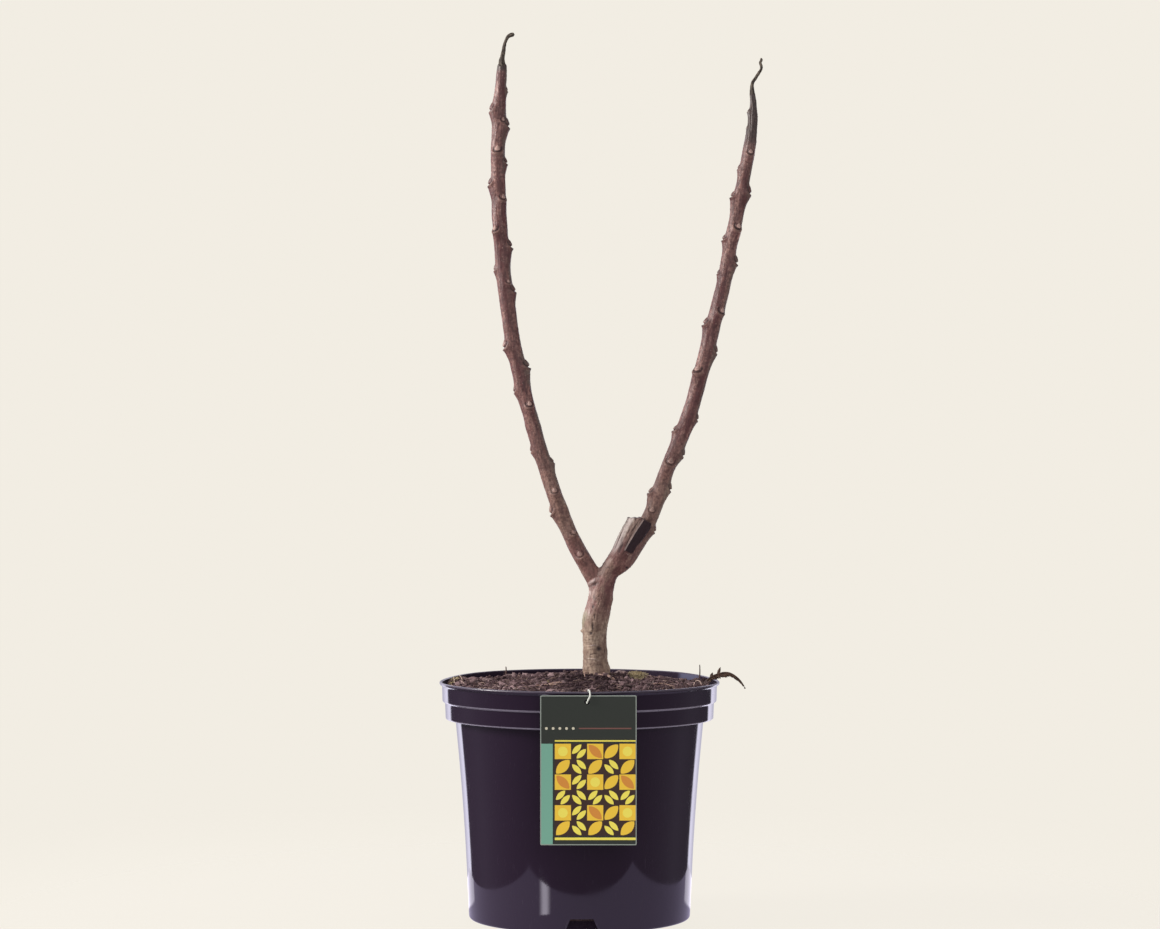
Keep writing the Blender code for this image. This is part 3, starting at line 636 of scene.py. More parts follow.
def facingOf(points, centre, way):
    right, back = sideAxes(way / np.linalg.norm(way, axis=1, keepdims=True))
    off = points - centre
    return np.arctan2((off * back).sum(1), (off * right).sum(1))


def softMin(a, b, k):
    h = np.clip(0.5 + 0.5 * (b - a) / k, 0, 1)
    return b * (1 - h) + a * h - k * h * (1 - h)


def cutOff(mesh, at, normal):
    # takes off what lies beyond a plane and closes the cut
    tidy = bmesh.new()
    tidy.from_mesh(mesh)
    cut = bmesh.ops.bisect_plane(tidy, geom=tidy.verts[:] + tidy.edges[:] + tidy.faces[:], dist=1e-6,
                                 plane_co=at, plane_no=normal, clear_outer=True)
    rim = [e for e in cut["geom_cut"] if isinstance(e, bmesh.types.BMEdge) and e.is_boundary]
    bmesh.ops.holes_fill(tidy, edges=rim)
    tidy.to_mesh(mesh)
    tidy.free()


def sliceFrame(stem):
    # a point on the slice's plane at its foot, and its out, across and along axes
    heights = stem["centre"][:, 2]
    at, way = (np.array([np.interp(oldStem["sliceFoot"], heights, stem[key][:, k]) for k in range(3)])
               for key in ("centre", "way"))
    way /= np.linalg.norm(way)
    facing = math.radians(oldStem["sliceFacing"])
    out = np.array([math.cos(facing), math.sin(facing), 0.0])
    out -= way * (out @ way)
    out /= np.linalg.norm(out)
    return at + out * oldStem["sliceFar"], out, np.cross(way, out), way


def plainTube(line):
    angle = np.linspace(0, tau, 28, endpoint=False)
    right, back = sideAxes(line["way"])
    out = np.cos(angle)[None, :, None] * right[:, None] + np.sin(angle)[None, :, None] * back[:, None]
    verts, faces = tubeMesh(line["centre"][:, None] + out * line["radius"][:, None, None])
    mesh = bpy.data.meshes.new("part")
    mesh.from_pydata(verts.tolist(), [], faces)
    return mesh


def modified(mesh, kind, **values):
    # a mesh with one modifier used on it
    holder = bpy.data.objects.new("holder", mesh)
    bpy.context.scene.collection.objects.link(holder)
    change = holder.modifiers.new("change", kind)
    for key, value in values.items():
        setattr(change, key, value)
    bpy.context.view_layer.update()
    out = bpy.data.meshes.new_from_object(holder.evaluated_get(bpy.context.evaluated_depsgraph_get()))
    bpy.data.objects.remove(holder)
    return out


def roughStem(stem, feet, frame):
    # the sawn stem and the feet of both boughs as plain tubes, remeshed evenly
    at, out, across, way = frame
    sawn = plainTube(stem)
    cutOff(sawn, (0, 0, oldStem["top"]), (0, 0, 1))
    slope = oldStem["slopeWay"]
    cutOff(sawn, (oldStem["slopeAt"][0], 0, oldStem["slopeAt"][1]), (slope[0], 0, slope[1]))
    block = bmesh.new()
    bmesh.ops.create_cube(block, size=60.0)
    turn = Matrix([out, across, way]).transposed().to_4x4()
    middle = Vector(at + out * 30 + way * (30 + oldStem["sliceUp"]))
    bmesh.ops.transform(block, matrix=Matrix.Translation(middle) @ turn, verts=block.verts)
    blockMesh = bpy.data.meshes.new("block")
    block.to_mesh(blockMesh)
    block.free()
    saw = bpy.data.objects.new("saw", blockMesh)
    bpy.context.scene.collection.objects.link(saw)
    sawn = modified(sawn, "BOOLEAN", operation="DIFFERENCE", object=saw)
    bpy.data.objects.remove(saw)
    parts = bmesh.new()
    parts.from_mesh(sawn)
    for _, line in feet:
        parts.from_mesh(plainTube(line))
    joined = bpy.data.meshes.new("joined")
    parts.to_mesh(joined)
    parts.free()
    return modified(joined, "REMESH", mode="VOXEL", voxel_size=oldStem["voxel"])


def makeStem():
    stem = limbLine(oldStem["stations"], 2.5)
    feet = []
    for spec in boughs.values():
        line = limbLine(spec["stations"], 2.5)
        low = line["centre"][:, 2] <= spec["seam"] + 4.0
        feet.append((spec, {k: v[low] for k, v in line.items()}))
    frame = sliceFrame(stem)
    planeAt, out, across, way = frame
    even = roughStem(stem, feet, frame)
    points = np.zeros(len(even.vertices) * 3)
    even.vertices.foreach_get("co", points)
    points = points.reshape(-1, 3)
    faces = [list(p.vertices) for p in even.polygons]

    def sliced(p):
        # positive where the slice has taken wood away; its face is a shallow scoop
        off = p - planeAt
        deep, side, along = off @ out, off @ across, off @ way - oldStem["sliceUp"]
        scoop = 0.9 * np.clip(1 - (side / 8.0) ** 2, 0, 1) * ramp(along, 2, 12)
        return np.minimum(deep + scoop, along - oldStem["sliceRound"] * (side + 1.5) ** 2)

    def sawnOff(p):
        slope, at = oldStem["slopeWay"], oldStem["slopeAt"]
        return np.maximum(p[:, 2] - oldStem["top"], (p[:, 0] - at[0]) * slope[0] + (p[:, 2] - at[1]) * slope[1])

    def wood(p):
        values = []
        for line in [stem] + [line for _, line in feet]:
            d, r, *_ = nearestOn(p, line)
            values.append(d - r)
        own, left, right = values
        own = softMin(own, right, oldStem["collar"])
        own = np.maximum(np.maximum(own, sliced(p)), sawnOff(p))
        low = np.clip((356 - p[:, 2]) / 14, 0, 1)
        own = softMin(own, right, oldStem["joint"] + (oldStem["fillet"] - oldStem["joint"]) * low)
        return softMin(own, left, oldStem["fillet"])

    def slopeOf(p):
        e = 0.05
        base = wood(p)
        grad = np.stack([wood(p + np.eye(3)[k] * e) - base for k in range(3)], 1) / e
        return base, grad / np.maximum(np.linalg.norm(grad, axis=1, keepdims=True), 1e-6)

    for _ in range(3):
        value, grad = slopeOf(points)
        points = points - grad * np.clip(value, -2.0, 2.0)[:, None]
    _, grad = slopeOf(points)

    # bark relief: each limb's own, shared out by how near it is
    d0, r0, run0, centre0, way0 = nearestOn(points, stem)
    angle0 = facingOf(points, centre0, way0)
    own0 = d0 - r0
    cutHere, sawHere = sliced(points), sawnOff(points)
    nearest = np.maximum(np.maximum(own0, cutHere), sawHere)
    place = np.stack([r0 * np.cos(angle0), r0 * np.sin(angle0), run0], -1)
    plates = fractalAt(place * [0.13, 0.13, 0.07], 11)
    strings = fractalAt(place * [0.7, 0.7, 0.08], 15)
    bands = fractalAt(place * [0.16, 0.16, 1.1], 27, 2)
    cracks = (1 - ramp(np.abs(noiseAt(place * [0.42, 0.42, 0.10], 19)), 0.0, 0.10)) * ramp(plates, 0.0, 0.4)
    spots, own = spotField(run0, angle0, r0, 4.4, 15, 23)
    lenticel = (1 - ramp(spots, 0.5, 1.1)) * (own > 0.5)
    rise = 0.5 * plates + 0.22 * strings + 0.16 * bands - 0.30 * cracks + 0.22 * lenticel
    age = np.ones(len(points))
    zero = np.zeros(len(points))
    # painted shade down the trunk's right side, fed into the node mask
    paintedRightShade = ramp(np.cos(angle0 - math.radians(335)), 0.1, 0.9) * ramp(fractalAt(place * [0.2, 0.2, 0.12], 37), -0.5, 0.4) \
        * (0.25 + 0.75 * ramp(points[:, 2], 292, 318))
    masks = {"scar": 0.55 * cracks, "bud": zero, "lip": zero, "node": 0.9 * paintedRightShade, "lenticel": 0.5 * lenticel,
             "streak": zero, "blush": zero, "dull": zero}
    stub = ramp(points[:, 2], 357, 371)
    for spec, line in feet:
        full = limbLine(spec["stations"], 2.5)
        d, r, run, centre, limbWay = nearestOn(points, line)
        young, youngMasks = youngRelief(run, facingOf(points, centre, limbWay), r,
                                        scarPlaces(full, spec["scars"]), spec["seed"])
        share = ramp(nearest - (d - r), -1.2, 2.0)
        rise = rise * (1 - share) + young * share
        age = age * (1 - share) + agedAt(points[:, 2]) * share
        stub = stub * (1 - share)
        for key in masks:
            masks[key] = masks[key] * (1 - share) + youngMasks[key] * share
        nearest = np.minimum(nearest, d - r)

    onStem = ramp(np.maximum(np.maximum(own0, cutHere), sawHere) - nearest, 0.8, 0.1)
    deep, side, along = ((points - planeAt) @ axis for axis in (out, across, way))
    along = along - oldStem["sliceUp"]
    face = ramp(cutHere, -0.5, -0.15) * ramp(own0, -0.1, -0.7) * onStem * ramp(along, 1.0, 2.2)
    top = ramp(sawHere, -0.7, -0.2) * ramp(own0, 0.5, -0.1) * onStem
    # the bough's bark beside the slice is painted as dark as the slice's face, out to a given line
    edge = np.interp(points[:, 2], *np.array(oldStem["darkBesideTo"]).T) + 0.4 * strings
    above = points[:, 2] + 0.45 * (points[:, 0] - 61.3)
    darkBeside = ramp(points[:, 0], edge + 0.4, edge - 0.4) * ramp(points[:, 0], edge - 8.0, edge - 7.0) \
        * ramp(points[:, 2], 369.5, 371.0) * ramp(above, 398.0, 397.0) * (grad[:, 1] < 0.2) * (own0 < 6)
    # a thin pale line along the slice's edge: part callus, part painted highlight where the edge catches the light
    rim = 0.9 * np.exp(-((own0 + 0.2) / 0.20) ** 2) * ramp(cutHere, -1.0, -0.35) * ramp(side, 3.0, -1.0) * stub
    stripes = ramp(strings + 0.5 * plates, -0.65, -0.1)
    rise = rise * (1 - face) * (1 - top) + 0.10 * strings * face + 0.5 * rim
    lines = 0.8 * stub * (1 - stripes) * (1 - face) * (1 - top)
    masks["scar"] = np.maximum(masks["scar"] * (1 - face), lines)
    # painted shade on the stub's side turned from the key light, carried in the node mask
    lit = ramp(np.cos(angle0 - math.radians(205)), 0.72, 0.92)
    masks["node"] = np.maximum(masks["node"], 0.75 * stub * (1 - lit))
    for facing, height, spread, stand in oldStem["bumps"]:
        apart = np.abs((angle0 - math.radians(facing) + math.pi) % tau - math.pi) * r0
        rise = rise + stand * np.exp(-(apart ** 2 + (points[:, 2] - height) ** 2) / spread ** 2) * (own0 < 2)
    # a soft pink painted highlight stripe up the trunk's left
    pale = 0.2 * ramp(np.cos(angle0 - math.radians(212)), 0.72, 0.97) * ramp(points[:, 2], 292, 306) * (1 - stub) \
        * ramp(plates, -0.5, 0.2) * (nearest > own0 - 1)
    patchy = ramp(fractalAt(place * 0.55, 43), -0.1, 0.35)
    front = grad[:, 1] < 0.1
    for x, z, wide, tall, lift, dark, light, slant in oldStem["marks"]:
        bow = 0.03 * (points[:, 0] - x) ** 2 * (wide > 2.8) - slant * (points[:, 0] - x)
        far = ((points[:, 0] - x) / wide) ** 2 + ((points[:, 2] - z + bow) / tall) ** 2
        spot = np.exp(-far ** 1.4) * front * (1 - 0.6 * patchy * (wide > 4))
        rise = rise + lift * spot
        masks["scar"] = np.maximum(masks["scar"], dark * spot)
        pale = np.maximum(pale, light * spot)
    leftEdge = ramp(np.cos(angle0 - math.radians(190)), 0.55, 0.95)
    # a painted highlight along the stub's lit left edge
    pale = np.maximum(pale, 0.55 * stub * (1 - face) * ramp(np.cos(angle0 - math.radians(215)), 0.88, 0.98)
                      * ramp(fractalAt(place * [0.3, 0.3, 0.05], 41), -0.5, 0.3))
    masks.update({
        # grey weathering on the stub, laid strongest on its lit left side: part weathering, part painted highlight
        "age": age, "grey": stub * (1 - face) * (0.3 + 0.7 * stripes) * ramp(points[:, 2], 362, 380)
        * (0.15 + 0.85 * lit),
        "rose": ramp(points[:, 2], 282, 312) * (1 - 0.7 * ramp(points[:, 2], 366, 384)) * (0.6 + 0.4 * ramp(plates, 0.4, -0.3)),
        # callus takes the slice's pale rim and the painted highlights gathered in pale
        "wound": np.maximum(np.maximum(face, darkBeside), 0.6 * top), "callusAndHighlight": np.maximum(rim, pale),
        "algae": 0.6 * leftEdge * ramp(plates, -0.2, 0.5) * ramp(points[:, 2], 286, 296) * ramp(points[:, 2], 316, 304),
        "withered": zero,
    })
    points = points + grad * rise[:, None]
    mesh = makeMesh("oldStem", points, faces, masks)
    cutOff(mesh, (0, 0, oldStem["foot"] * mm), (0, 0, -1))
    mesh.shade_smooth()
    return addPiece("oldStem", mesh, barkMaterial, ("trunk", "pruned_stub"))


makeStem()
print("old stem ready")

# withered tips

tips = {
    "leftWitheredTip": {
        "stations": [(-77.7, -2.0, 849.0, 7.0), (-77.6, -2.0, 852.7, 6.3), (-77.0, -2.0, 860.0, 4.2),
                     (-75.0, -2.0, 871.0, 3.2), (-72.4, -2.0, 878.2, 3.0), (-69.2, -2.0, 881.3, 4.0),
                     (-64.9, -2.0, 882.0, 3.4)],
        "node": "left_withered_tip", "seed": 5,
    },
    "rightWitheredTip": {
        "stations": [(172.9, 3.0, 822.0, 5.0), (172.7, 3.0, 825.3, 4.4), (173.1, 3.0, 833.4, 3.2),
                     (176.3, 3.0, 839.2, 2.8), (181.0, 3.0, 846.2, 2.6), (182.2, 3.0, 850.2, 2.4),
                     (180.8, 3.0, 854.4, 2.2), (182.0, 3.0, 857.0, 2.2), (181.6, 3.0, 859.2, 2.0)],
        "node": "right_withered_tip", "seed": 8,
    },
}


def witheredFinish():
    material, tree, shader = newFinish("witheredFinish", 0.8, 0.3)
    grain = useGroup(tree, "grain", Scale=900.0)
    blotch = useGroup(tree, "blotch", Scale=260.0)
    color = mixColor(tree, blotch["Large"], (0.088, 0.073, 0.061), (0.205, 0.168, 0.132))
    color = mixColor(tree, grain["Tone"], color, (0.022, 0.016, 0.015))
    tree.links.new(color, shader.inputs["Base Color"])
    addBump(tree, shader, grain["Height"], 0.6, 0.0005)
    return material


witheredMaterial = witheredFinish()


def makeTip(name, spec):
    line = limbLine(spec["stations"], 0.3)
    angle = np.linspace(0, tau, 28, endpoint=False)[None, :]
    run, angle2, radius = np.broadcast_arrays(line["run"][:, None], angle, line["radius"][:, None])
    place = np.stack([np.cos(angle2), np.sin(angle2), run * 0.16], -1)
    folds = 0.16 * radius * np.cos(5 * angle2 + run * 0.35) + 0.22 * fractalAt(place * 1.8, spec["seed"])
    end = np.sqrt(np.clip((line["run"][-1] - run) / 1.4, 0.02, 1))
    right, back = sideAxes(line["way"])
    out = np.cos(angle)[..., None] * right[:, None] + np.sin(angle)[..., None] * back[:, None]
    rings = line["centre"][:, None] + out * ((radius * 1.02 + folds) * end)[..., None]
    verts, faces = tubeMesh(rings)
    return addPiece(name, makeMesh(name, verts, faces), witheredMaterial, (spec["node"],))


for name, spec in tips.items():
    makeTip(name, spec)
print("tips ready")

# pot: a turned shell with a lip, two collar bands, a tapering wall and pressed drain channels

pot = {
    "steps": 192, "height": 236.0, "rim": 140.0, "wall": 1.6, "upper": 137.4, "upperFoot": 216.0,
    "lower": 134.4, "collarFoot": 198.7, "waist": 1.5, "row": 9.0,
    "wallTop": 124.0, "wallFoot": 111.0, "footBand": 112.0,
    "footHeight": 16.0, "rounding": 4.0, "backRise": 2.2, "drains": 3, "drainFirst": 271.2, "drainHeight": 14.1,
    "drainFoot": 38.7, "drainTop": 22.4, "drainInner": 84.0, "drainOuter": 122.0,
    # the first two entries on the next line are the colour and place of a painted reflection on the inner back wall
    "paintedSheen": (0.088, 0.088, 0.145), "paintedSheenAt": (0.100, 0.106, 0.119, 0.124),
    # the scuff colour also serves painted highlights on the lip and raised edges
    "color": (0.0165, 0.0088, 0.0205), "scuffAndHighlight": (0.10, 0.085, 0.12), "lipFrom": (0.2336, 0.2348), "roughness": 0.05,
    # the next line holds the heights and colour of painted highlight lines on the collar bands
    "edges": ((0.2146, 0.2172), (0.1972, 0.2002)), "paintedHighlightColor": (0.230, 0.205, 0.280),
}


def roundedCorners(points, radius, count=3):
    # an open profile with its inner corners turned to small arcs
    out = [points[0]]
    for a, b, c in zip(points, points[1:], points[2:]):
        a, b, c = (np.array(p, float) for p in (a, b, c))
        back, on = a - b, c - b
        reach = min(radius, np.linalg.norm(back) * 0.45, np.linalg.norm(on) * 0.45)
        start = b + back / np.linalg.norm(back) * reach
        end = b + on / np.linalg.norm(on) * reach
        for k in range(count + 1):
            t = k / count
            out.append(tuple((1 - t) ** 2 * start + 2 * t * (1 - t) * b + t * t * end))
    out.append(points[-1])
    return out


def turned(profile, steps):
    # a closed turned body; the profile starts and ends on the axis, and long runs get rows of their own
    pts = [profile[0]]
    for a, b in zip(profile, profile[1:]):
        a, b = np.array(a, float), np.array(b, float)
        far = np.linalg.norm(b - a)
        if far > 1.5 * pot["row"] and abs(a[1] - b[1]) > far / 2:
            pts += [tuple(a + (b - a) * t) for t in
                    [0.8 / far, *np.linspace(0, 1, int(far / pot["row"]) + 1)[1:-1], 1 - 0.8 / far]]
        pts.append(tuple(b))
    pts = np.array(pts, float)
    tall = np.clip((pts[:, 1] - pot["footHeight"]) / (pot["collarFoot"] - pot["footHeight"]), 0, 1)
    pts[:, 0] -= pot["waist"] * np.sin(math.pi * tall) * (pts[:, 0] > 100)
    angle = np.linspace(0, tau, steps, endpoint=False)
    inner = pts[1:-1]
    rings = np.stack([inner[:, :1] * np.cos(angle), inner[:, :1] * np.sin(angle),
                      np.repeat(inner[:, 1:], steps, axis=1)], -1)
    verts = np.concatenate([rings.reshape(-1, 3), [[0, 0, pts[0, 1]], [0, 0, pts[-1, 1]]]])
    rows = len(inner)
    faces = [[f[0], f[3], f[2], f[1]] for f in ringFaces(rows, steps)]
    first, last = rows * steps, rows * steps + 1
    for j in range(steps):
        k = (j + 1) % steps
        faces.append([first, j, k])
        faces.append([last, (rows - 1) * steps + k, (rows - 1) * steps + j])
    return verts, faces


def potFinish():
    material, tree, shader = newFinish("potFinish", pot["roughness"], 0.5)
    place = tree.nodes.new("ShaderNodeTexCoord").outputs["Object"]
    blotch = useGroup(tree, "blotch", Scale=30.0)
    wear = useGroup(tree, "wear", Amount=0.5)
    scratch = rangeNode(tree, noiseNode(tree, stretchedPlace(tree, place, 1.0, 1.0, 0.06), 900.0, 2.0), 0.66, 0.74)
    color = mixColor(tree, mathNode(tree, "MULTIPLY", scratch, 0.10), pot["color"], pot["scuffAndHighlight"])
    # raised edges painted paler: part scuff, part painted highlight
    color = mixColor(tree, wear["Mask"], color, pot["scuffAndHighlight"])
    split = tree.nodes.new("ShaderNodeSeparateXYZ")
    tree.links.new(place, split.inputs[0])
    # the lip's top painted paler and rougher: part scuff, part painted highlight line
    lip = rangeNode(tree, split.outputs[2], *pot["lipFrom"])
    color = mixColor(tree, mathNode(tree, "MULTIPLY", lip, 0.7), color, pot["scuffAndHighlight"])
    # painted highlight lines along the rounded lower edges of both collar bands
    for low, high in pot["edges"]:
        ring = mathNode(tree, "MULTIPLY", rangeNode(tree, split.outputs[2], low, low + 0.0006),
                        rangeNode(tree, split.outputs[2], high - 0.0006, high, 0.8, 0.0))
        color = mixColor(tree, ring, color, pot["paintedHighlightColor"])
    tree.links.new(color, shader.inputs["Base Color"])
    rough = mathNode(tree, "ADD", mathNode(tree, "MULTIPLY", blotch["Large"], 0.05), pot["roughness"])
    rough = mathNode(tree, "ADD", rough, mathNode(tree, "MULTIPLY", lip, 0.22))
    rough = mathNode(tree, "ADD", rough, mathNode(tree, "MULTIPLY", scratch, 0.12))
    tree.links.new(rough, shader.inputs["Roughness"])
    ripple = noiseNode(tree, place, 16.0, 1.0, 0.4)
    addBump(tree, shader, ripple, 0.08, 0.003)
    return material


def potInsideFinish():
    # dull and dark, with one paler bluish painted reflection at the back on the right
    material, tree, shader = newFinish("potInsideFinish", 0.8, 0.08)
    place = tree.nodes.new("ShaderNodeTexCoord").outputs["Object"]
    blotch = useGroup(tree, "blotch", Scale=120.0)
    split = tree.nodes.new("ShaderNodeSeparateXYZ")
    tree.links.new(place, split.inputs[0])
    a, b, c, d = pot["paintedSheenAt"]
    paintedSheenMask = mathNode(tree, "MULTIPLY", rangeNode(tree, split.outputs[0], a, b), rangeNode(tree, split.outputs[0], c, d, 1.0, 0.0))
    paintedSheenMask = mathNode(tree, "MULTIPLY", paintedSheenMask, mathNode(tree, "GREATER_THAN", split.outputs[1], 0.0))
    color = mixColor(tree, mathNode(tree, "MULTIPLY", blotch["Small"], 0.12), pot["color"], pot["scuffAndHighlight"])
    tree.links.new(mixColor(tree, paintedSheenMask, color, pot["paintedSheen"]), shader.inputs["Base Color"])
    addBump(tree, shader, blotch["Small"], 0.1, 0.0005)
    return material


def drainBlock(name, angle, grow, outer):
    # a box with a narrower top along one radius of the foot
    inner = pot["drainInner"] - grow
    low, high = pot["drainFoot"] / 2 + grow, pot["drainTop"] / 2 + grow
    top = pot["drainHeight"] + grow
    corners = [(inner, -low, -5), (outer, -low, -5), (outer, low, -5), (inner, low, -5),
               (inner, -high, top), (outer, -high, top), (outer, high, top), (inner, high, top)]
    faces = [(0, 3, 2, 1), (4, 5, 6, 7), (0, 1, 5, 4), (1, 2, 6, 5), (2, 3, 7, 6), (3, 0, 4, 7)]
    turn = Matrix.Rotation(math.radians(angle), 3, "Z")
    return makeMesh(name, [tuple(turn @ Vector(c)) for c in corners], faces)


def joinBlocks(piece, operation, grow, outer):
    tools = bpy.data.collections.new(operation)
    bpy.context.scene.collection.children.link(tools)
    for k in range(pot["drains"]):
        angle = pot["drainFirst"] + 360 * k / pot["drains"]
        tools.objects.link(bpy.data.objects.new("drainTool", drainBlock("drainTool", angle, grow, outer)))
    piece.data = modified(piece.data, "BOOLEAN", operation=operation, operand_type="COLLECTION", collection=tools)
    for tool in list(tools.objects):
        bpy.data.objects.remove(tool)
    bpy.data.collections.remove(tools)


def makePot():
    p = pot
    inside = [(p["upper"] - p["wall"], p["height"] - 5), (p["upper"] - p["wall"] - 0.5, p["upperFoot"] + p["wall"]),
              (p["lower"] - p["wall"], p["upperFoot"] + p["wall"] - 0.4),
              (p["lower"] - p["wall"] - 0.8, p["collarFoot"] + p["wall"]),
              (p["wallTop"] - p["wall"], p["collarFoot"] + p["wall"] - 0.2),
              (p["wallFoot"] - p["wall"], p["footHeight"]),
              (p["wallFoot"] - p["wall"] - p["rounding"], p["wall"]), (0, p["wall"])]
    outside = [(p["rim"] - 2.8, p["height"] - 0.8), (p["rim"] - 1.4, p["height"]), (p["rim"] - 0.3, p["height"] - 0.6),
               (p["rim"], p["height"] - 1.8), (p["rim"] - 0.5, p["height"] - 3.2), (p["upper"], p["height"] - 4.0),
               (p["upper"] - 0.5, p["upperFoot"]), (p["lower"], p["upperFoot"] - 0.5),
               (p["lower"] - 0.7, p["collarFoot"]), (p["wallTop"], p["collarFoot"] - 0.4),
               (p["wallFoot"], p["footHeight"]), (p["wallFoot"] - 0.7, 1.6), (p["wallFoot"] - 2.2, 0.0), (0, 0)]
    profile = roundedCorners(list(reversed(inside)) + outside, 1.25)
    verts, faces = turned(profile, p["steps"])
    piece = addPiece("nurseryPot", makeMesh("nurseryPot", verts, faces), potFinish(), ("pot",))
    bpy.context.view_layer.update()
    joinBlocks(piece, "UNION", p["wall"], p["wallFoot"] - 0.8)
    cutOff(piece.data, (0, 0, 0), (0, 0, -1))
    joinBlocks(piece, "DIFFERENCE", 0.0, p["drainOuter"])
    piece.data.shade_smooth()
    piece.data.set_sharp_from_angle(angle=math.radians(32))
    piece.data.materials.append(potInsideFinish())
    for face in piece.data.polygons:
        inward = face.normal.x * face.center.x + face.normal.y * face.center.y < 0
        drain = face.center.z < p["drainHeight"] * mm + 0.0003 and face.center.xy.length < (p["wallFoot"] - 2.4) * mm
        if drain or inward and 0.19 < face.center.z < (p["height"] - 0.9) * mm:
            face.material_index = 1
    for vert in piece.data.vertices:  # the thin rim is a little out of true and stands higher at the back
        vert.co.z += p["backRise"] * mm * float(ramp(vert.co.z, 0.206, 0.232) * ramp(vert.co.y, 0.015, 0.110))
    return piece


makePot()
print("pot ready")

# compost: a rough top, with crumbs, bark bits, fibres, straw, moss, sprouts and roots on it

growth = {
    # side, depth, half width, half depth, height
    "moss": [(-124.0, 32.0, 5.0, 9.0, 4.6), (-119.0, 40.0, 3.0, 6.0, 2.8), (-129.0, 14.0, 3.0, 6.0, 2.2),
             (58.5, 50.0, 10.0, 17.0, 3.2), (58.0, 16.0, 8.5, 28.0, 2.7), (-36.0, -44.0, 6.0, 5.0, 2.0), (-28.0, -60.0, 4.0, 4.0, 1.6)],
    "mossBlades": 7.5,
    # side, depth, height, radius and side twigs
    "sprouts": [(-76.0, 62.0, 12.5, 1.1, 2), (120.5, 34.0, 18.5, 0.95, 0)],
    "roots": [[(15, -13, 2.2), (20, -18, 2.0), (28, -30, 1.6), (36, -46, 0.6)],
              [(20, -10, 2.6), (27, -15, 2.2), (33, -26, 1.4), (37, -34, 0.4)],
              [(9, -12, 2.0), (5, -20, 1.4), (6, -32, 0.4)],
              [(113.5, -26, -0.5), (114, -26, 4.6), (117, -25, 6.6), (120, -26, 4.6), (121, -28, -0.5)],
              [(113, -32, -0.5), (114, -34, 3.6), (118, -34, 4.0), (119, -32, -0.5)],
              [(70, -38, 1.0), (84, -36, 1.6), (98, -42, 0.6)],
              [(-128, -8, 3.0), (-124, -14, 1.6), (-120, -22, 0.4)], [(-118, 8, 3.4), (-116, -2, 2.0), (-113, -12, 0.4)],
              [(-127, 26, 3.6), (-126, 16, 2.6), (-125, 4, 0.4)], [(-121, 26, 3.8), (-118, 18, 2.4), (-119, 8, 0.4)],
              [(-30, -52, 1.4), (-20, -60, 1.6), (-8, -62, 0.8)], [(-44, -70, 1.0), (-34, -66, 1.8), (-22, -72, 0.6)]],
    "rootRadius": 0.72,
}
compost = {
    "seat": 243.2, "seatRadius": 24.0, "edge": 230.5, "fall": 1.05, "radius": 135.3, "rings": 150, "around": 360,
    "crumbs": 6600, "chips": 780, "bits": 560, "fibres": 700, "dampAt": (6.0, -40.0), "dampSize": (32.0, 80.0),
    # hollows and heaps: side, depth, half width, half depth, height
    "heaps": [(-125.0, 40.0, 22.0, 34.0, 3.4), (-50.0, 82.0, 42.0, 34.0, -2.2), (-88.0, 20.0, 26.0, 30.0, 0.8),
              (57.0, 50.0, 11.0, 22.0, 3.6), (41.0, 46.0, 8.0, 8.0, 1.0), (84.0, 74.0, 24.0, 24.0, -1.2)],
    # pieces laid where the photo shows them: side, depth, length, width, thickness, turn, tone
    "laid": [(85.0, 36.0, 19.0, 5.0, 3.0, 8, 0.4), (41.0, 46.0, 13.0, 8.0, 6.0, 20, 0.5),
             (-52.0, 84.0, 7.0, 4.0, 2.6, -10, 0.95), (-72.0, -82.0, 8.0, 3.5, 1.8, 15, 0.9),
             (-80.0, -68.0, 6.0, 3.0, 1.6, -30, 0.8), (-62.0, -92.0, 5.0, 3.0, 1.6, 40, 0.85),
             (-106.0, 22.0, 13.0, 6.0, 3.0, 12, 0.35), (-92.0, 6.0, 12.0, 5.0, 2.6, -8, 0.45),
             (-66.0, 30.0, 13.0, 6.0, 3.0, 5, 0.5), (-40.0, 20.0, 11.0, 5.0, 3.4, -12, 0.4),
             (-22.0, 46.0, 9.0, 6.0, 3.2, 22, 0.55), (-10.0, -96.0, 10.0, 7.0, 4.0, 10, 0.02),
             (6.0, -60.0, 12.0, 8.0, 5.0, -20, 0.0), (20.0, -84.0, 9.0, 7.0, 4.0, 35, 0.05),
             (44.0, -70.0, 12.0, 5.0, 3.0, -15, 0.3), (66.0, -40.0, 13.0, 5.0, 3.0, 6, 0.4),
             (92.0, -30.0, 12.0, 5.0, 3.4, -20, 0.3), (110.0, -14.0, 10.0, 7.0, 5.0, 15, 0.1),
             (124.0, 6.0, 12.0, 8.0, 8.5, 15, 0.0), (117.0, 16.0, 10.0, 7.0, 5.5, -25, 0.05),
             (126.5, -13.0, 6.0, 5.0, 6.0, 40, 0.1), (-88.0, -74.0, 7.0, 3.0, 1.8, 5, 0.9),
             (-70.0, -94.0, 6.0, 2.6, 1.6, -12, 1.0), (-58.0, -84.0, 7.0, 3.0, 1.8, 24, 0.75),
             (121.0, 2.0, 9.0, 6.0, 5.0, 50, 0.15), (100.0, 10.0, 9.0, 5.0, 4.0, -35, 0.25)],
}


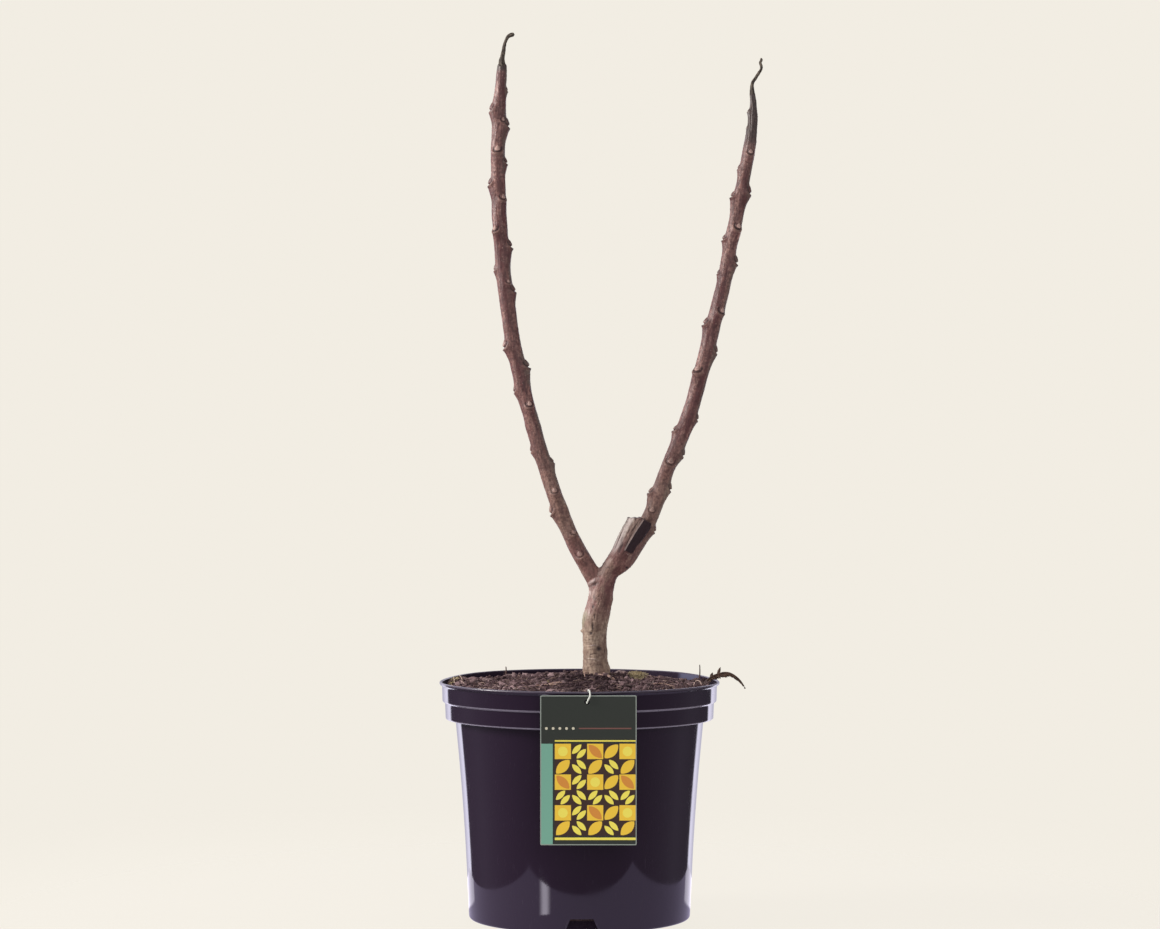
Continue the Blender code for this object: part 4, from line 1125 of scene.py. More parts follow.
def compostHeight(x, y):
    r = np.hypot(x, y)
    t = np.clip((r - compost["seatRadius"]) / (compost["radius"] - compost["seatRadius"]), 0, 1)
    base = compost["seat"] - (compost["seat"] - compost["edge"]) * t ** compost["fall"]
    place = np.stack([x, y, 0 * x], -1)
    lumps = 1.7 * fractalAt(place * 0.055 + 3, 61, 3) + 1.0 * fractalAt(place * 0.26, 64, 3)
    calm = 1 - 0.6 * np.exp(-((x - 16) ** 2 + y ** 2) / 500)
    for cx, cy, wide, deep, tall in compost["heaps"]:
        base = base + tall * np.exp(-((x - cx) / wide) ** 2 - ((y - cy) / deep) ** 2)
    return base - 1.2 + lumps * calm


def dampAt(points):
    at, size = compost["dampAt"], compost["dampSize"]
    return np.exp(-((points[:, 0] - at[0]) / size[0]) ** 2 - ((points[:, 1] - at[1]) / size[1]) ** 2)


def compostFinish(name, dark, mid, pale, flecks=0.5):
    material, tree, shader = newFinish(name, 0.93, 0.25)
    place = tree.nodes.new("ShaderNodeTexCoord").outputs["Object"]
    blotch = useGroup(tree, "blotch", Scale=170.0)
    color = mixColor(tree, blotch["Large"], dark, mid)
    color = mixColor(tree, mathNode(tree, "MULTIPLY", blotch["Small"], flecks), color, pale)
    color = mixColor(tree, mathNode(tree, "MULTIPLY", maskNode(tree, "tone"), 0.85), color, pale)
    color = mixColor(tree, mathNode(tree, "MULTIPLY", maskNode(tree, "damp"), 0.7), color, (0.020, 0.009, 0.013))
    tree.links.new(color, shader.inputs["Base Color"])
    addBump(tree, shader, noiseNode(tree, place, 1500.0, 4.0, 0.7), 0.8, 0.0008)
    return material


compostMaterial = compostFinish("compostFinish", (0.008, 0.004, 0.006), (0.048, 0.024, 0.031), (0.175, 0.110, 0.118))


def makeCompost():
    c = compost
    radii = c["radius"] * np.sqrt(np.linspace(0.00002, 1, c["rings"]))
    angle = np.linspace(0, tau, c["around"], endpoint=False)
    x, y = radii[:, None] * np.cos(angle), radii[:, None] * np.sin(angle)
    top = np.stack([x, y, compostHeight(x, y)], -1)[::-1]
    side = []
    for r, z in ((135.0, 222.0), (134.6, 219.0), (132.2, 217.4), (131.6, 201.8), (121.8, 200.0), (108.2, 12.0),
                 (104.2, 21.0), (2.0, 21.0)):
        side.append(np.stack([r * np.cos(angle), r * np.sin(angle), np.full_like(angle, z)], -1))
    rings = np.concatenate([np.array(side)[::-1], top])
    verts, faces = tubeMesh(rings)
    mesh = makeMesh("compostBed", verts, faces, {"damp": dampAt(verts)})
    return addPiece("compostBed", mesh, compostMaterial, ("compost",))


makeCompost()


def lumpShapes(count, seed, level):
    # a few unlike pebbly lumps of unit size
    ball = bmesh.new()
    bmesh.ops.create_icosphere(ball, subdivisions=level, radius=1.0)
    base = np.array([v.co[:] for v in ball.verts])
    faces = np.array([[v.index for v in f.verts] for f in ball.faces])
    ball.free()
    return [base * (1 + 0.42 * noiseAt(base * 1.5 + 11 * k, seed + k % 3)[:, None]
            + 0.16 * noiseAt(base * 4.5 + 7 * k, seed + 5)[:, None]) for k in range(count)], faces


def turnsAbout(axis, angle):
    # one turn matrix to each axis and angle
    x, y, z = axis.T
    none = np.zeros_like(x)
    k = np.stack([np.stack([none, -z, y], -1), np.stack([z, none, -x], -1), np.stack([-y, x, none], -1)], 1)
    return np.eye(3) + np.sin(angle)[:, None, None] * k + (1 - np.cos(angle))[:, None, None] * (k @ k)


def lyingTurns(yaw, tilt, rng):
    toward = rng.uniform(0, tau, len(yaw))
    flat = np.stack([np.cos(toward), np.sin(toward), 0 * toward], -1)
    return turnsAbout(flat, rng.normal(0, tilt, len(yaw))) @ turnsAbout(np.tile([0.0, 0.0, 1.0], (len(yaw), 1)), yaw)


def scatter(count, rng):
    # places on the compost, clear of the trunk
    r = np.sqrt(rng.uniform(0, 1, count)) * (compost["radius"] - 2.5)
    a = rng.uniform(0, tau, count)
    x, y = r * np.cos(a), r * np.sin(a)
    clear = np.hypot(x - 17, y) > 13
    for cx, cy, wide, deep, _ in growth["moss"]:
        clear &= ((x - cx) / wide) ** 2 + ((y - cy) / deep) ** 2 > 1
    return x[clear], y[clear]


def addLumps(name, x, y, sizes, turns, tones, material, seed, level):
    shapes, faces = lumpShapes(9, seed, level)
    z = compostHeight(x, y) + 0.3 * sizes[:, 2]
    verts = [shapes[k % 9] * sizes[k] @ turns[k].T + [x[k], y[k], z[k]] for k in range(len(x))]
    polys = np.concatenate([faces + k * len(shapes[0]) for k in range(len(x))])
    verts = np.concatenate(verts)
    masks = {"tone": np.repeat(tones, len(shapes[0])), "damp": dampAt(verts)}
    return addPiece(name, makeMesh(name, verts, polys.tolist(), masks, smooth=False), material)


def makeCrumbs(name, count, low, high, squash, tilt, material, seed, level=1):
    rng = np.random.default_rng(seed)
    x, y = scatter(count, rng)
    size = low + (high - low) * rng.random(len(x)) ** 2.2
    # small ones along the wall and at the back, where the rim stays clear of them
    size = np.minimum(size, np.maximum(0.6, 0.9 * (134.0 - np.hypot(x, y))))
    size = np.where(y > 30, np.minimum(size, 0.5 * high), size)
    sizes = size[:, None] * np.stack([np.ones(len(x)), rng.uniform(0.34, 0.8, len(x)), rng.uniform(*squash, len(x))], -1)
    turns = lyingTurns(rng.uniform(0, tau, len(x)), tilt, rng)
    addLumps(name, x, y, sizes, turns, np.maximum(rng.random(len(x)) ** 1.8, rng.random(len(x)) > 0.93), material, seed, level)


barkBitFinish = compostFinish("barkBitFinish", (0.020, 0.008, 0.012), (0.082, 0.042, 0.049), (0.400, 0.275, 0.285))
paleBitFinish = compostFinish("paleBitFinish", (0.110, 0.066, 0.068), (0.270, 0.185, 0.180), (0.600, 0.490, 0.470))
makeCrumbs("compostCrumbs", compost["crumbs"], 0.5, 2.7, (0.5, 0.9), 1.5, compostMaterial, 101)
makeCrumbs("barkBits", compost["chips"], 1.4, 5.8, (0.2, 0.55), 0.6, barkBitFinish, 103, 2)
makeCrumbs("paleBits", compost["bits"], 0.5, 2.4, (0.25, 0.6), 0.5, paleBitFinish, 107)
laidFinish = compostFinish("laidFinish", (0.034, 0.017, 0.020), (0.090, 0.050, 0.054), (0.560, 0.430, 0.420), 0.12)
laid = np.array(compost["laid"])
addLumps("laidChips", laid[:, 0], laid[:, 1], laid[:, 2:5] / 2,
         lyingTurns(np.radians(laid[:, 5]), 0.08, np.random.default_rng(109)), laid[:, 6], laidFinish, 109, 3)


def strandMesh(paths, radii, sides=4):
    # many thin tubes in one mesh; each path is rows by 3
    verts, faces = [], []
    start = 0
    for path, radius in zip(paths, radii):
        way = np.gradient(path, axis=0)
        way /= np.maximum(np.linalg.norm(way, axis=1, keepdims=True), 1e-9)
        helper = np.where(np.abs(way[:, 2:3]) > 0.8, [[1.0, 0, 0]], [[0, 0, 1.0]])
        one = np.cross(way, helper)
        one /= np.linalg.norm(one, axis=1, keepdims=True)
        two = np.cross(way, one)
        angle = np.linspace(0, tau, sides, endpoint=False)
        taper = np.broadcast_to(np.asarray(radius, float), (len(path),))[:, None, None]
        rings = path[:, None] + (np.cos(angle)[None, :, None] * one[:, None]
                                 + np.sin(angle)[None, :, None] * two[:, None]) * taper
        v, f = tubeMesh(rings)
        verts.append(v)
        faces += [[i + start for i in face] for face in f]
        start += len(v)
    return np.concatenate(verts), faces


def makeFibres(name, count, length, radius, lift, material, seed):
    rng = np.random.default_rng(seed)
    x, y = scatter(count, rng)
    paths, radii = [], []
    for k in range(len(x)):
        reach = rng.uniform(*length)
        heading, bend = rng.uniform(0, tau), rng.normal(0, 1.1)
        t = np.linspace(0, 1, 7)
        turn = heading + bend * t
        px = x[k] + np.cumsum(np.cos(turn)) * reach / 7
        py = y[k] + np.cumsum(np.sin(turn)) * reach / 7
        pull = np.minimum(1, (compost["radius"] - 2.5) / np.hypot(px, py))
        px, py = px * pull, py * pull
        pz = compostHeight(px, py) + rng.uniform(*lift) + rng.uniform(0, 1.2) * np.sin(t * math.pi)
        paths.append(np.stack([px, py, pz], -1))
        radii.append(rng.uniform(*radius) * np.array([0.5, 0.9, 1, 1, 1, 0.8, 0.3]))
    verts, faces = strandMesh(paths, radii)
    masks = {"tone": 0.4 * (1 + noiseAt(verts * 0.15, 19)), "damp": 0.8 * dampAt(verts)}
    return addPiece(name, makeMesh(name, verts, faces, masks), material)


fibreFinish = compostFinish("fibreFinish", (0.050, 0.028, 0.028), (0.130, 0.076, 0.070), (0.270, 0.180, 0.160))
strawFinish = compostFinish("strawFinish", (0.240, 0.135, 0.110), (0.400, 0.250, 0.205), (0.600, 0.460, 0.400))
makeFibres("compostFibres", compost["fibres"], (5, 16), (0.2, 0.5), (0.2, 0.9), fibreFinish, 111)
makeFibres("paleFibres", 150, (4, 14), (0.2, 0.42), (0.4, 1.2), strawFinish, 113)
print("compost ready")

# moss, two dry sprouts, root bits and the pinkish roots at the trunk's foot


def mossFinish():
    material, tree, shader = newFinish("mossFinish", 0.85, 0.3)
    blotch = useGroup(tree, "blotch", Scale=260.0)
    color = mixColor(tree, blotch["Large"], (0.15, 0.115, 0.045), (0.40, 0.32, 0.17))
    color = mixColor(tree, mathNode(tree, "MULTIPLY", blotch["Small"], 0.6), color, (0.68, 0.59, 0.45))
    tree.links.new(color, shader.inputs["Base Color"])
    return material


def makeMoss():
    rng = np.random.default_rng(127)
    verts, faces = [], []
    for cx, cy, wide, deep, tall in growth["moss"]:
        count = int(growth["mossBlades"] * wide * deep)
        r = np.sqrt(rng.random(count))
        a = rng.uniform(0, tau, count)
        x, y = cx + wide * r * np.cos(a), cy + deep * r * np.sin(a)
        inside = np.hypot(x, y) < compost["radius"] - 3
        for px, py in zip(x[inside], y[inside]):
            foot = np.array([px, py, float(compostHeight(np.array(px), np.array(py))) - 0.3])
            lean = rng.normal(0, 0.6, 2)
            top = foot + np.array([lean[0], lean[1], 1.0]) * tall * rng.uniform(0.35, 1.0)
            side = np.array([math.cos(px * 9), math.sin(px * 9), 0]) * rng.uniform(0.3, 0.6)
            middle = foot * 0.45 + top * 0.55
            n = len(verts)
            verts += [foot, middle - side, top, middle + side, middle + np.array([side[1], -side[0], 0.0]) * 0.5]
            faces += [[n, n + 1, n + 4], [n + 1, n + 2, n + 4], [n + 2, n + 3, n + 4], [n + 3, n, n + 4],
                      [n, n + 3, n + 1], [n + 3, n + 2, n + 1]]
    mesh = makeMesh("moss", np.array(verts), faces, smooth=False)
    return addPiece("moss", mesh, mossFinish())


def makeSprouts():
    paths, radii = [], []
    rng = np.random.default_rng(131)
    for x, y, tall, radius, twigs in growth["sprouts"]:
        foot = float(compostHeight(np.array(x), np.array(y))) - 1
        t = np.linspace(0, 1, 9)
        paths.append(np.stack([x + 1.2 * np.sin(t * 2.2), y + 0.8 * t, foot + (tall + 1) * t], -1))
        radii.append(radius * (1 - 0.45 * t))
        for k in range(twigs):
            at = 0.35 + 0.2 * k
            turn = rng.uniform(0, tau)
            s = np.linspace(0, 1, 5)
            reach = tall * rng.uniform(0.16, 0.3)
            paths.append(np.stack([x + 1.2 * math.sin(at * 2.2) + reach * s * math.cos(turn),
                                   y + 0.8 * at + reach * s * math.sin(turn),
                                   foot + (tall + 1) * at + reach * 0.8 * s], -1))
            radii.append(radius * 0.5 * (1 - 0.5 * s))
    verts, faces = strandMesh(paths, radii, 6)
    addPiece("drySprouts", makeMesh("drySprouts", verts, faces), fibreFinish)
    paths, radii = [], []
    for points in growth["roots"]:
        line = smoothPath([(x, y, float(compostHeight(np.array(x), np.array(y))) + z, 1.0) for x, y, z in points], 1.5)
        wave = 0.3 * noiseAt(line[:, :3] * 0.3, 17)
        paths.append(line[:, :3] + wave[:, None])
        thick = growth["rootRadius"] * (0.5 if points[0][0] < -100 else 1.0)
        radii.append(thick * (1 - 0.3 * np.linspace(0, 1, len(line))) + 0.15 * wave)
    verts, faces = strandMesh(paths, radii, 8)
    masks = {"tone": 0.9 * (np.abs(verts[:, 0]) > 100)}
    addPiece("looseRoots", makeMesh("looseRoots", verts, faces, masks), strawFinish)


makeMoss()
makeSprouts()
print("growth ready")

# dead leaflet over the rim: a curled rib with narrow toothed leaflets

leaflet = {
    "rib": [(121.0, -9.0, 231.0, 1.6), (127.0, -9.0, 236.8, 2.0), (132.0, -9.0, 240.6, 2.0), (137.0, -9.0, 242.8, 2.0),
            (144.0, -9.0, 244.6, 1.9), (150.0, -9.0, 244.0, 1.8), (155.5, -9.0, 241.0, 1.6), (160.0, -9.0, 237.0, 1.3),
            (163.2, -9.0, 232.6, 0.8), (165.2, -9.0, 229.2, 0.2)],
    "blades": 34, "length": 8.2, "width": 2.9, "spikes": ((3, 5.5), (9, 8.0)),
}


def leafFinish():
    material, tree, shader = newFinish("dryLeafFinish", 0.75, 0.3)
    blotch = useGroup(tree, "blotch", Scale=220.0)
    grain = useGroup(tree, "grain", Scale=800.0)
    color = mixColor(tree, blotch["Large"], (0.026, 0.014, 0.013), (0.085, 0.048, 0.036))
    color = mixColor(tree, mathNode(tree, "MULTIPLY", blotch["Small"], 0.4), color, (0.17, 0.105, 0.07))
    tree.links.new(color, shader.inputs["Base Color"])
    addBump(tree, shader, grain["Height"], 0.5, 0.0005)
    return material


def makeLeaflet():
    rib = smoothPath(leaflet["rib"], 1.2)
    verts, faces = strandMesh([rib[:, :3]], [rib[:, 3] / 2], 8)
    verts, faces = list(verts), list(faces)
    rng = np.random.default_rng(139)
    way = np.gradient(rib[:, :3], axis=0)
    way /= np.linalg.norm(way, axis=1, keepdims=True)
    for k in range(leaflet["blades"]):
        t = k / (leaflet["blades"] - 1)
        index = int(8 + t * (len(rib) - 10))
        base, along = rib[index, :3], way[index]
        for side in (-1, 1):
            aim = np.array([0, 0.42 * side, -0.8 + rng.normal(0, 0.14)]) + along * rng.uniform(0.3, 0.8)
            length = leaflet["length"] * (1.15 - t) ** 0.7 * (0.5 + 0.5 * min(1, 2.2 * t)) * rng.uniform(0.75, 1.0)
            for spike, tall in leaflet["spikes"]:
                if k == spike and side > 0:
                    aim, length = np.array([0.35, 0.2, 1.0]), tall
            aim /= np.linalg.norm(aim)
            flat = np.cross(along, aim)
            flat /= np.linalg.norm(flat)
            edge = np.cross(aim, flat)
            wide = leaflet["width"] * (1 - 0.35 * t)
            rows = 8
            start = len(verts)
            for i in range(rows):
                s = i / (rows - 1)
                half = wide / 2 * math.sin(math.pi * (0.12 + 0.88 * s) ** 0.8) * (1 + 0.25 * (i % 2)) + 0.05
                curl = flat * -0.11 * length * s * s * side
                middle = base + aim * length * s + curl
                thick = flat * (0.22 - 0.12 * s)
                verts += [middle - edge * half, middle + thick, middle + edge * half, middle - thick]
            for i in range(rows - 1):
                a, b = start + 4 * i, start + 4 * i + 4
                faces += [[a + j, b + j, b + (j + 1) % 4, a + (j + 1) % 4] for j in range(4)]
            faces += [[start, start + 1, start + 2, start + 3],
                      [start + 4 * rows - 1, start + 4 * rows - 2, start + 4 * rows - 3, start + 4 * rows - 4]]
    mesh = makeMesh("deadLeaflet", np.array(verts), faces)
    fix = bmesh.new()
    fix.from_mesh(mesh)
    bmesh.ops.recalc_face_normals(fix, faces=fix.faces)
    fix.to_mesh(mesh)
    fix.free()
    return addPiece("deadLeaflet", mesh, leafFinish(), ("fallen_leaflet",))


makeLeaflet()
print("leaflet ready")

# label card with a plain pattern of its own, and the wire it hangs from

card = {
    "width": 92.0, "height": 143.0, "thick": 0.6, "corner": 1.2, "side": 8.5, "foot": 89.8, "back": -142.6,
    "hole": (7.2, 226.4), "holeRadius": 2.6, "border": 0.9,
    "field": (0.036, 0.043, 0.036), "borderColor": (0.34, 0.39, 0.36), "teal": (0.20, 0.46, 0.36),
    "gold": (0.97, 0.64, 0.055), "orange": (0.74, 0.30, 0.05), "yellow": (0.98, 0.86, 0.13),
    "brown": (0.060, 0.032, 0.026), "cream": (0.72, 0.68, 0.54), "rust": (0.22, 0.095, 0.080),
}


def printFinish(name, color, grainAmount=0.06):
    material, tree, shader = newFinish(name, 0.32, 0.5)
    place = tree.nodes.new("ShaderNodeTexCoord").outputs["Object"]
    dots = rangeNode(tree, noiseNode(tree, place, 2400.0, 2.0, 0.6), 0.35, 0.7)
    darker = tuple(0.7 * c for c in color)
    tree.links.new(mixColor(tree, mathNode(tree, "MULTIPLY", dots, grainAmount * 3), color, darker),
                   shader.inputs["Base Color"])
    shader.inputs["Coat Weight"].default_value = 0.25
    shader.inputs["Coat Roughness"].default_value = 0.12
    addBump(tree, shader, noiseNode(tree, place, 60.0, 2.0), 0.06, 0.001)
    return material


def outlineBox(width, height, corner, count=5):
    out = []
    for turn, (sx, sz) in enumerate(((1, 1), (-1, 1), (-1, -1), (1, -1))):
        for k in range(count + 1):
            a = math.radians(90 * (turn + k / count))
            out.append((sx * (width / 2 - corner) + corner * math.cos(a), sz * (height / 2 - corner) + corner * math.sin(a)))
    return out


def outlineLeaf(length, width, lean, count=12):
    out = []
    for k in range(2 * count):
        t = k / count if k < count else 2 - k / count
        half = width / 2 * math.sin(math.pi * t) ** 0.75 * (1 if k < count else -1)
        x, z = half, length * (t - 0.5)
        out.append((x * math.cos(lean) - z * math.sin(lean), x * math.sin(lean) + z * math.cos(lean)))
    return out


def flatShape(name, outlines, holes, front, thick, material, nodes=()):
    # outlines in the card's plane, filled and given a thickness; front is the y of the seen face
    data = bpy.data.curves.new(name, "CURVE")
    data.dimensions = "2D"
    data.fill_mode = "BOTH"
    data.extrude = thick / 2 * mm
    for outline in list(outlines) + list(holes):
        spline = data.splines.new("POLY")
        spline.points.add(len(outline) - 1)
        for point, (x, z) in zip(spline.points, outline):
            point.co = (x * mm, z * mm, 0, 1)
        spline.use_cyclic_u = True
    holder = bpy.data.objects.new(name, data)
    bpy.context.scene.collection.objects.link(holder)
    holder.matrix_world = Matrix.Translation((0, (front + thick / 2) * mm, 0)) @ Matrix.Rotation(math.pi / 2, 4, "X")
    bpy.context.view_layer.update()
    mesh = bpy.data.meshes.new_from_object(holder.evaluated_get(bpy.context.evaluated_depsgraph_get()))
    mesh.transform(holder.matrix_world)
    bpy.data.objects.remove(holder)
    weld = bmesh.new()
    weld.from_mesh(mesh)
    bmesh.ops.remove_doubles(weld, verts=weld.verts, dist=1e-6)
    bmesh.ops.recalc_face_normals(weld, faces=weld.faces)
    weld.to_mesh(mesh)
    weld.free()
    mesh.name = name
    return addPiece(name, mesh, material, nodes)


def moved(outline, x, z):
    return [(px + x, pz + z) for px, pz in outline]


def makeCard():
    c = card
    middle = (c["side"], c["foot"] + c["height"] / 2)
    face = c["back"] - c["thick"]
    hole = [(c["hole"][0] + c["holeRadius"] * math.cos(tau * k / 24),
             c["hole"][1] + c["holeRadius"] * math.sin(tau * k / 24)) for k in range(24)]
    sheet = moved(outlineBox(c["width"], c["height"], c["corner"]), *middle)
    flatShape("labelCard", [sheet], [hole], face, c["thick"], printFinish("cardBorder", c["borderColor"]),
              ("label_card",))
    inner = moved(outlineBox(c["width"] - 2 * c["border"], c["height"] - 2 * c["border"], 0.8), *middle)
    lift = 0.05
    flatShape("cardField", [inner], [hole], face - lift, lift, printFinish("cardField", c["field"]))
    left, right = c["side"] - c["width"] / 2 + c["border"], c["side"] + c["width"] / 2 - c["border"]
    low = c["foot"] + c["border"]
    stripe = [(left, low), (left + 11, low), (left + 11, low + 96), (left, low + 96)]
    flatShape("cardStripe", [stripe], [], face - 2 * lift, lift, printFinish("cardTeal", c["teal"]))
    panel = [(left + 13, low + 8), (right, low + 8), (right, low + 96), (left + 13, low + 96)]
    flatShape("cardPanel", [panel], [], face - 2 * lift, lift, printFinish("cardBrown", c["brown"]))
    lines = [[(left + 13, low + 4), (right, low + 4), (right, low + 6.4), (left + 13, low + 6.4)],
             [(left + 13, low + 98), (right, low + 98), (right, low + 99.4), (left + 13, low + 99.4)]]
    flatShape("cardLines", lines, [], face - 2 * lift, lift, printFinish("cardYellow", c["yellow"]))
    rust = [(left + 36, low + 110), (right - 4, low + 110), (right - 4, low + 111.2), (left + 36, low + 111.2)]
    flatShape("cardRust", [rust], [], face - 2 * lift, lift, printFinish("cardRust", c["rust"]))
    tiles, gold, orange, yellow = [], [], [], []
    columns, rows = 5, 6
    wide, tall = (right - left - 13) / columns, 88.0 / rows
    for i in range(columns):
        for j in range(rows):
            x, z = left + 13 + wide * (i + 0.5), low + 8 + tall * (j + 0.5)
            kind, lean = (2 * i + 3 * j + i * j) % 4, 0.78 if (i + j) % 2 else -0.78
            if kind in (1, 3):
                tiles.append(moved(outlineBox(wide, tall, 0.2), x, z))
            if kind == 0:
                gold.append(moved(outlineLeaf(1.25 * tall, 0.62 * wide, lean), x, z))
            elif kind == 1:
                orange.append(moved(outlineLeaf(1.2 * tall, 0.52 * wide, lean), x, z))
            elif kind == 2:
                for step in (-0.2, 0.2):
                    yellow.append(moved(outlineLeaf(0.86 * tall, 0.34 * wide, lean), x + step * wide * math.cos(lean),
                                        z + step * wide * math.sin(lean)))
            else:
                yellow.append(moved(outlineBox(0.6 * wide, 0.6 * wide, 0.29 * wide), x, z))
    goldFinish = printFinish("cardGold", c["gold"])
    flatShape("cardTiles", tiles, [], face - 3 * lift, lift, goldFinish)
    flatShape("cardGoldLeaves", gold, [], face - 3 * lift, lift, goldFinish)
    flatShape("cardOrangeLeaves", orange, [], face - 4 * lift, lift, printFinish("cardOrange", c["orange"]))
    flatShape("cardYellowShapes", yellow, [], face - 4 * lift, lift, printFinish("cardYellowShape", c["yellow"]))
    dots = [moved(outlineBox(2.6, 2.6, 1.2), left + 5 + 6.4 * k, low + 110.6) for k in range(5)]
    flatShape("cardDots", dots, [], face - 2 * lift, lift, printFinish("cardCream", c["cream"]))


makeCard()

hook = {
    "stations": [(8.2, -134.2, 233.0, 1.6), (8.2, -134.2, 235.5, 1.6), (8.6, -135.8, 237.2, 1.6),
                 (9.4, -140.0, 237.1, 1.6), (10.0, -142.4, 234.8, 1.6), (10.1, -144.28, 232.3, 1.6),
                 (8.4, -144.48, 228.8, 1.6), (7.2, -144.1, 226.0, 1.6), (7.0, -142.9, 225.5, 1.6)],
    "color": (0.70, 0.73, 0.68),
}


def hookFinish():
    material, tree, shader = newFinish("hookFinish", 0.35, 0.5)
    blotch = useGroup(tree, "blotch", Scale=400.0)
    darker = tuple(0.8 * c for c in hook["color"])
    tree.links.new(mixColor(tree, blotch["Small"], hook["color"], darker), shader.inputs["Base Color"])
    return material


def makeHook():
    line = smoothPath(hook["stations"], 0.35)
    verts, faces = strandMesh([line[:, :3]], [line[:, 3] / 2], 14)
    return addPiece("hookWire", makeMesh("hookWire", verts, faces), hookFinish(), ("label_hook",))


makeHook()
print("card and hook ready")

# floor, light and camera

studio = {
    "cream": (0.887, 0.847, 0.768), "lilac": (0.57, 0.51, 0.76), "floorSize": 2.4, "fade": (0.45, 1.05),
    "shown": (0.0135, 0.2785, 0.270), "streakFrom": (-0.0045, -0.062), "streakWay": 35.0, "streakWide": 0.075,
    "streakNear": 0.128, "streakGlow": 10.0, "streakColor": (0.62, 0.58, 0.68),
    "backdrop": 3.15, "backdropEdge": (0.795, 0.835), "backdropEnd": 0.2, "soft": 0.42, "softBack": 0.75,
    "glossFront": 0.13, "glossSide": 0.27, "glossLate": 0.40, "behind": (1.75, 1.65, 2.0), "behindAt": (-0.176, -0.158), "behindFrom": (0.040, 0.066), "floorPale": 0.04, "floorGlow": 0.953,
    "key": 84.0, "keyAt": (-2.35, -0.30, 1.40), "keySize": 1.0,
    "fill": 18.0, "fillAt": (0.9, -2.9, 1.4), "fillSize": 1.6,
}


def floorFinish():
    # pale near the plant and faded out far off; only a square round the pot shows in its gloss
    material, tree, shader = newFinish("floorFinish", 0.9, 0.1)
    shader.inputs["Base Color"].default_value = (*(studio["floorPale"] * c for c in studio["cream"]), 1.0)
    shader.inputs["Emission Strength"].default_value = studio["floorGlow"]
    out = tree.nodes["Material Output"]
    place = tree.nodes.new("ShaderNodeTexCoord").outputs["Object"]
    split = tree.nodes.new("ShaderNodeSeparateXYZ")
    tree.links.new(place, split.inputs[0])
    far = mathNode(tree, "SQRT", mathNode(tree, "ADD", mathNode(tree, "POWER", split.outputs[0], 2.0),
                                          mathNode(tree, "POWER", split.outputs[1], 2.0)))
    solid = mathNode(tree, "SUBTRACT", 1.0, rangeNode(tree, far, *studio["fade"]))
    middle, halfWide, halfDeep = studio["shown"]
    offX = mathNode(tree, "SUBTRACT", split.outputs[0], middle)
    square = mathNode(tree, "MULTIPLY", mathNode(tree, "LESS_THAN", mathNode(tree, "ABSOLUTE", offX), halfWide),
                      mathNode(tree, "LESS_THAN", mathNode(tree, "ABSOLUTE", split.outputs[1]), halfDeep))
    gloss = tree.nodes.new("ShaderNodeLightPath").outputs["Is Glossy Ray"]
    # one bright streak that only the pot's gloss shows
    turn = math.radians(studio["streakWay"])
    fromX = mathNode(tree, "SUBTRACT", studio["streakFrom"][0], split.outputs[0])
    fromY = mathNode(tree, "SUBTRACT", studio["streakFrom"][1], split.outputs[1])
    along = mathNode(tree, "ADD", mathNode(tree, "MULTIPLY", fromX, math.sin(turn)),
                     mathNode(tree, "MULTIPLY", fromY, math.cos(turn)))
    across = mathNode(tree, "SUBTRACT", mathNode(tree, "MULTIPLY", fromX, math.cos(turn)),
                      mathNode(tree, "MULTIPLY", fromY, math.sin(turn)))
    slim = mathNode(tree, "DIVIDE", mathNode(tree, "ABSOLUTE", across), mathNode(tree, "MAXIMUM", along, 0.01))
    streak = mathNode(tree, "MULTIPLY", rangeNode(tree, slim, 0.2 * studio["streakWide"], 1.6 * studio["streakWide"], 1.0, 0.0),
                      mathNode(tree, "GREATER_THAN", along, studio["streakNear"]))
    bright = tuple(studio["streakGlow"] * c for c in studio["streakColor"])
    glow = mixColor(tree, streak, studio["lilac"], bright)
    # the floor beside and behind the pot is as bright as the backdrop
    aside = mathNode(tree, "ABSOLUTE", split.outputs[0])
    behind = rangeNode(tree, mathNode(tree, "SUBTRACT", split.outputs[1], mathNode(tree, "MULTIPLY", aside, 1.2)), *studio["behindAt"])
    behind = mathNode(tree, "MULTIPLY", behind, rangeNode(tree, split.outputs[1], *studio["behindFrom"]))
    behind = mathNode(tree, "MULTIPLY", behind, mathNode(tree, "GREATER_THAN", aside, 0.112))
    glow = mixColor(tree, behind, glow, studio["behind"])
    tree.links.new(mixColor(tree, gloss, studio["cream"], glow), shader.inputs["Emission Color"])
    hide = mathNode(tree, "MULTIPLY", gloss, mathNode(tree, "SUBTRACT", 1.0, square))
    shown = mathNode(tree, "MULTIPLY", solid, mathNode(tree, "SUBTRACT", 1.0, hide))
    clear = tree.nodes.new("ShaderNodeBsdfTransparent")
    mix = tree.nodes.new("ShaderNodeMixShader")
    tree.links.new(shown, mix.inputs[0])
    tree.links.new(clear.outputs[0], mix.inputs[1])
    tree.links.new(shader.outputs[0], mix.inputs[2])
    tree.links.new(mix.outputs[0], out.inputs["Surface"])
    return material


def makeFloor():
    sheet = bmesh.new()
    bmesh.ops.create_grid(sheet, x_segments=8, y_segments=8, size=studio["floorSize"] / 2)
    mesh = bpy.data.meshes.new("floor")
    sheet.to_mesh(mesh)
    sheet.free()
    floor = bpy.data.objects.new("floor", mesh)
    bpy.context.scene.collection.objects.link(floor)
    mesh.materials.append(floorFinish())


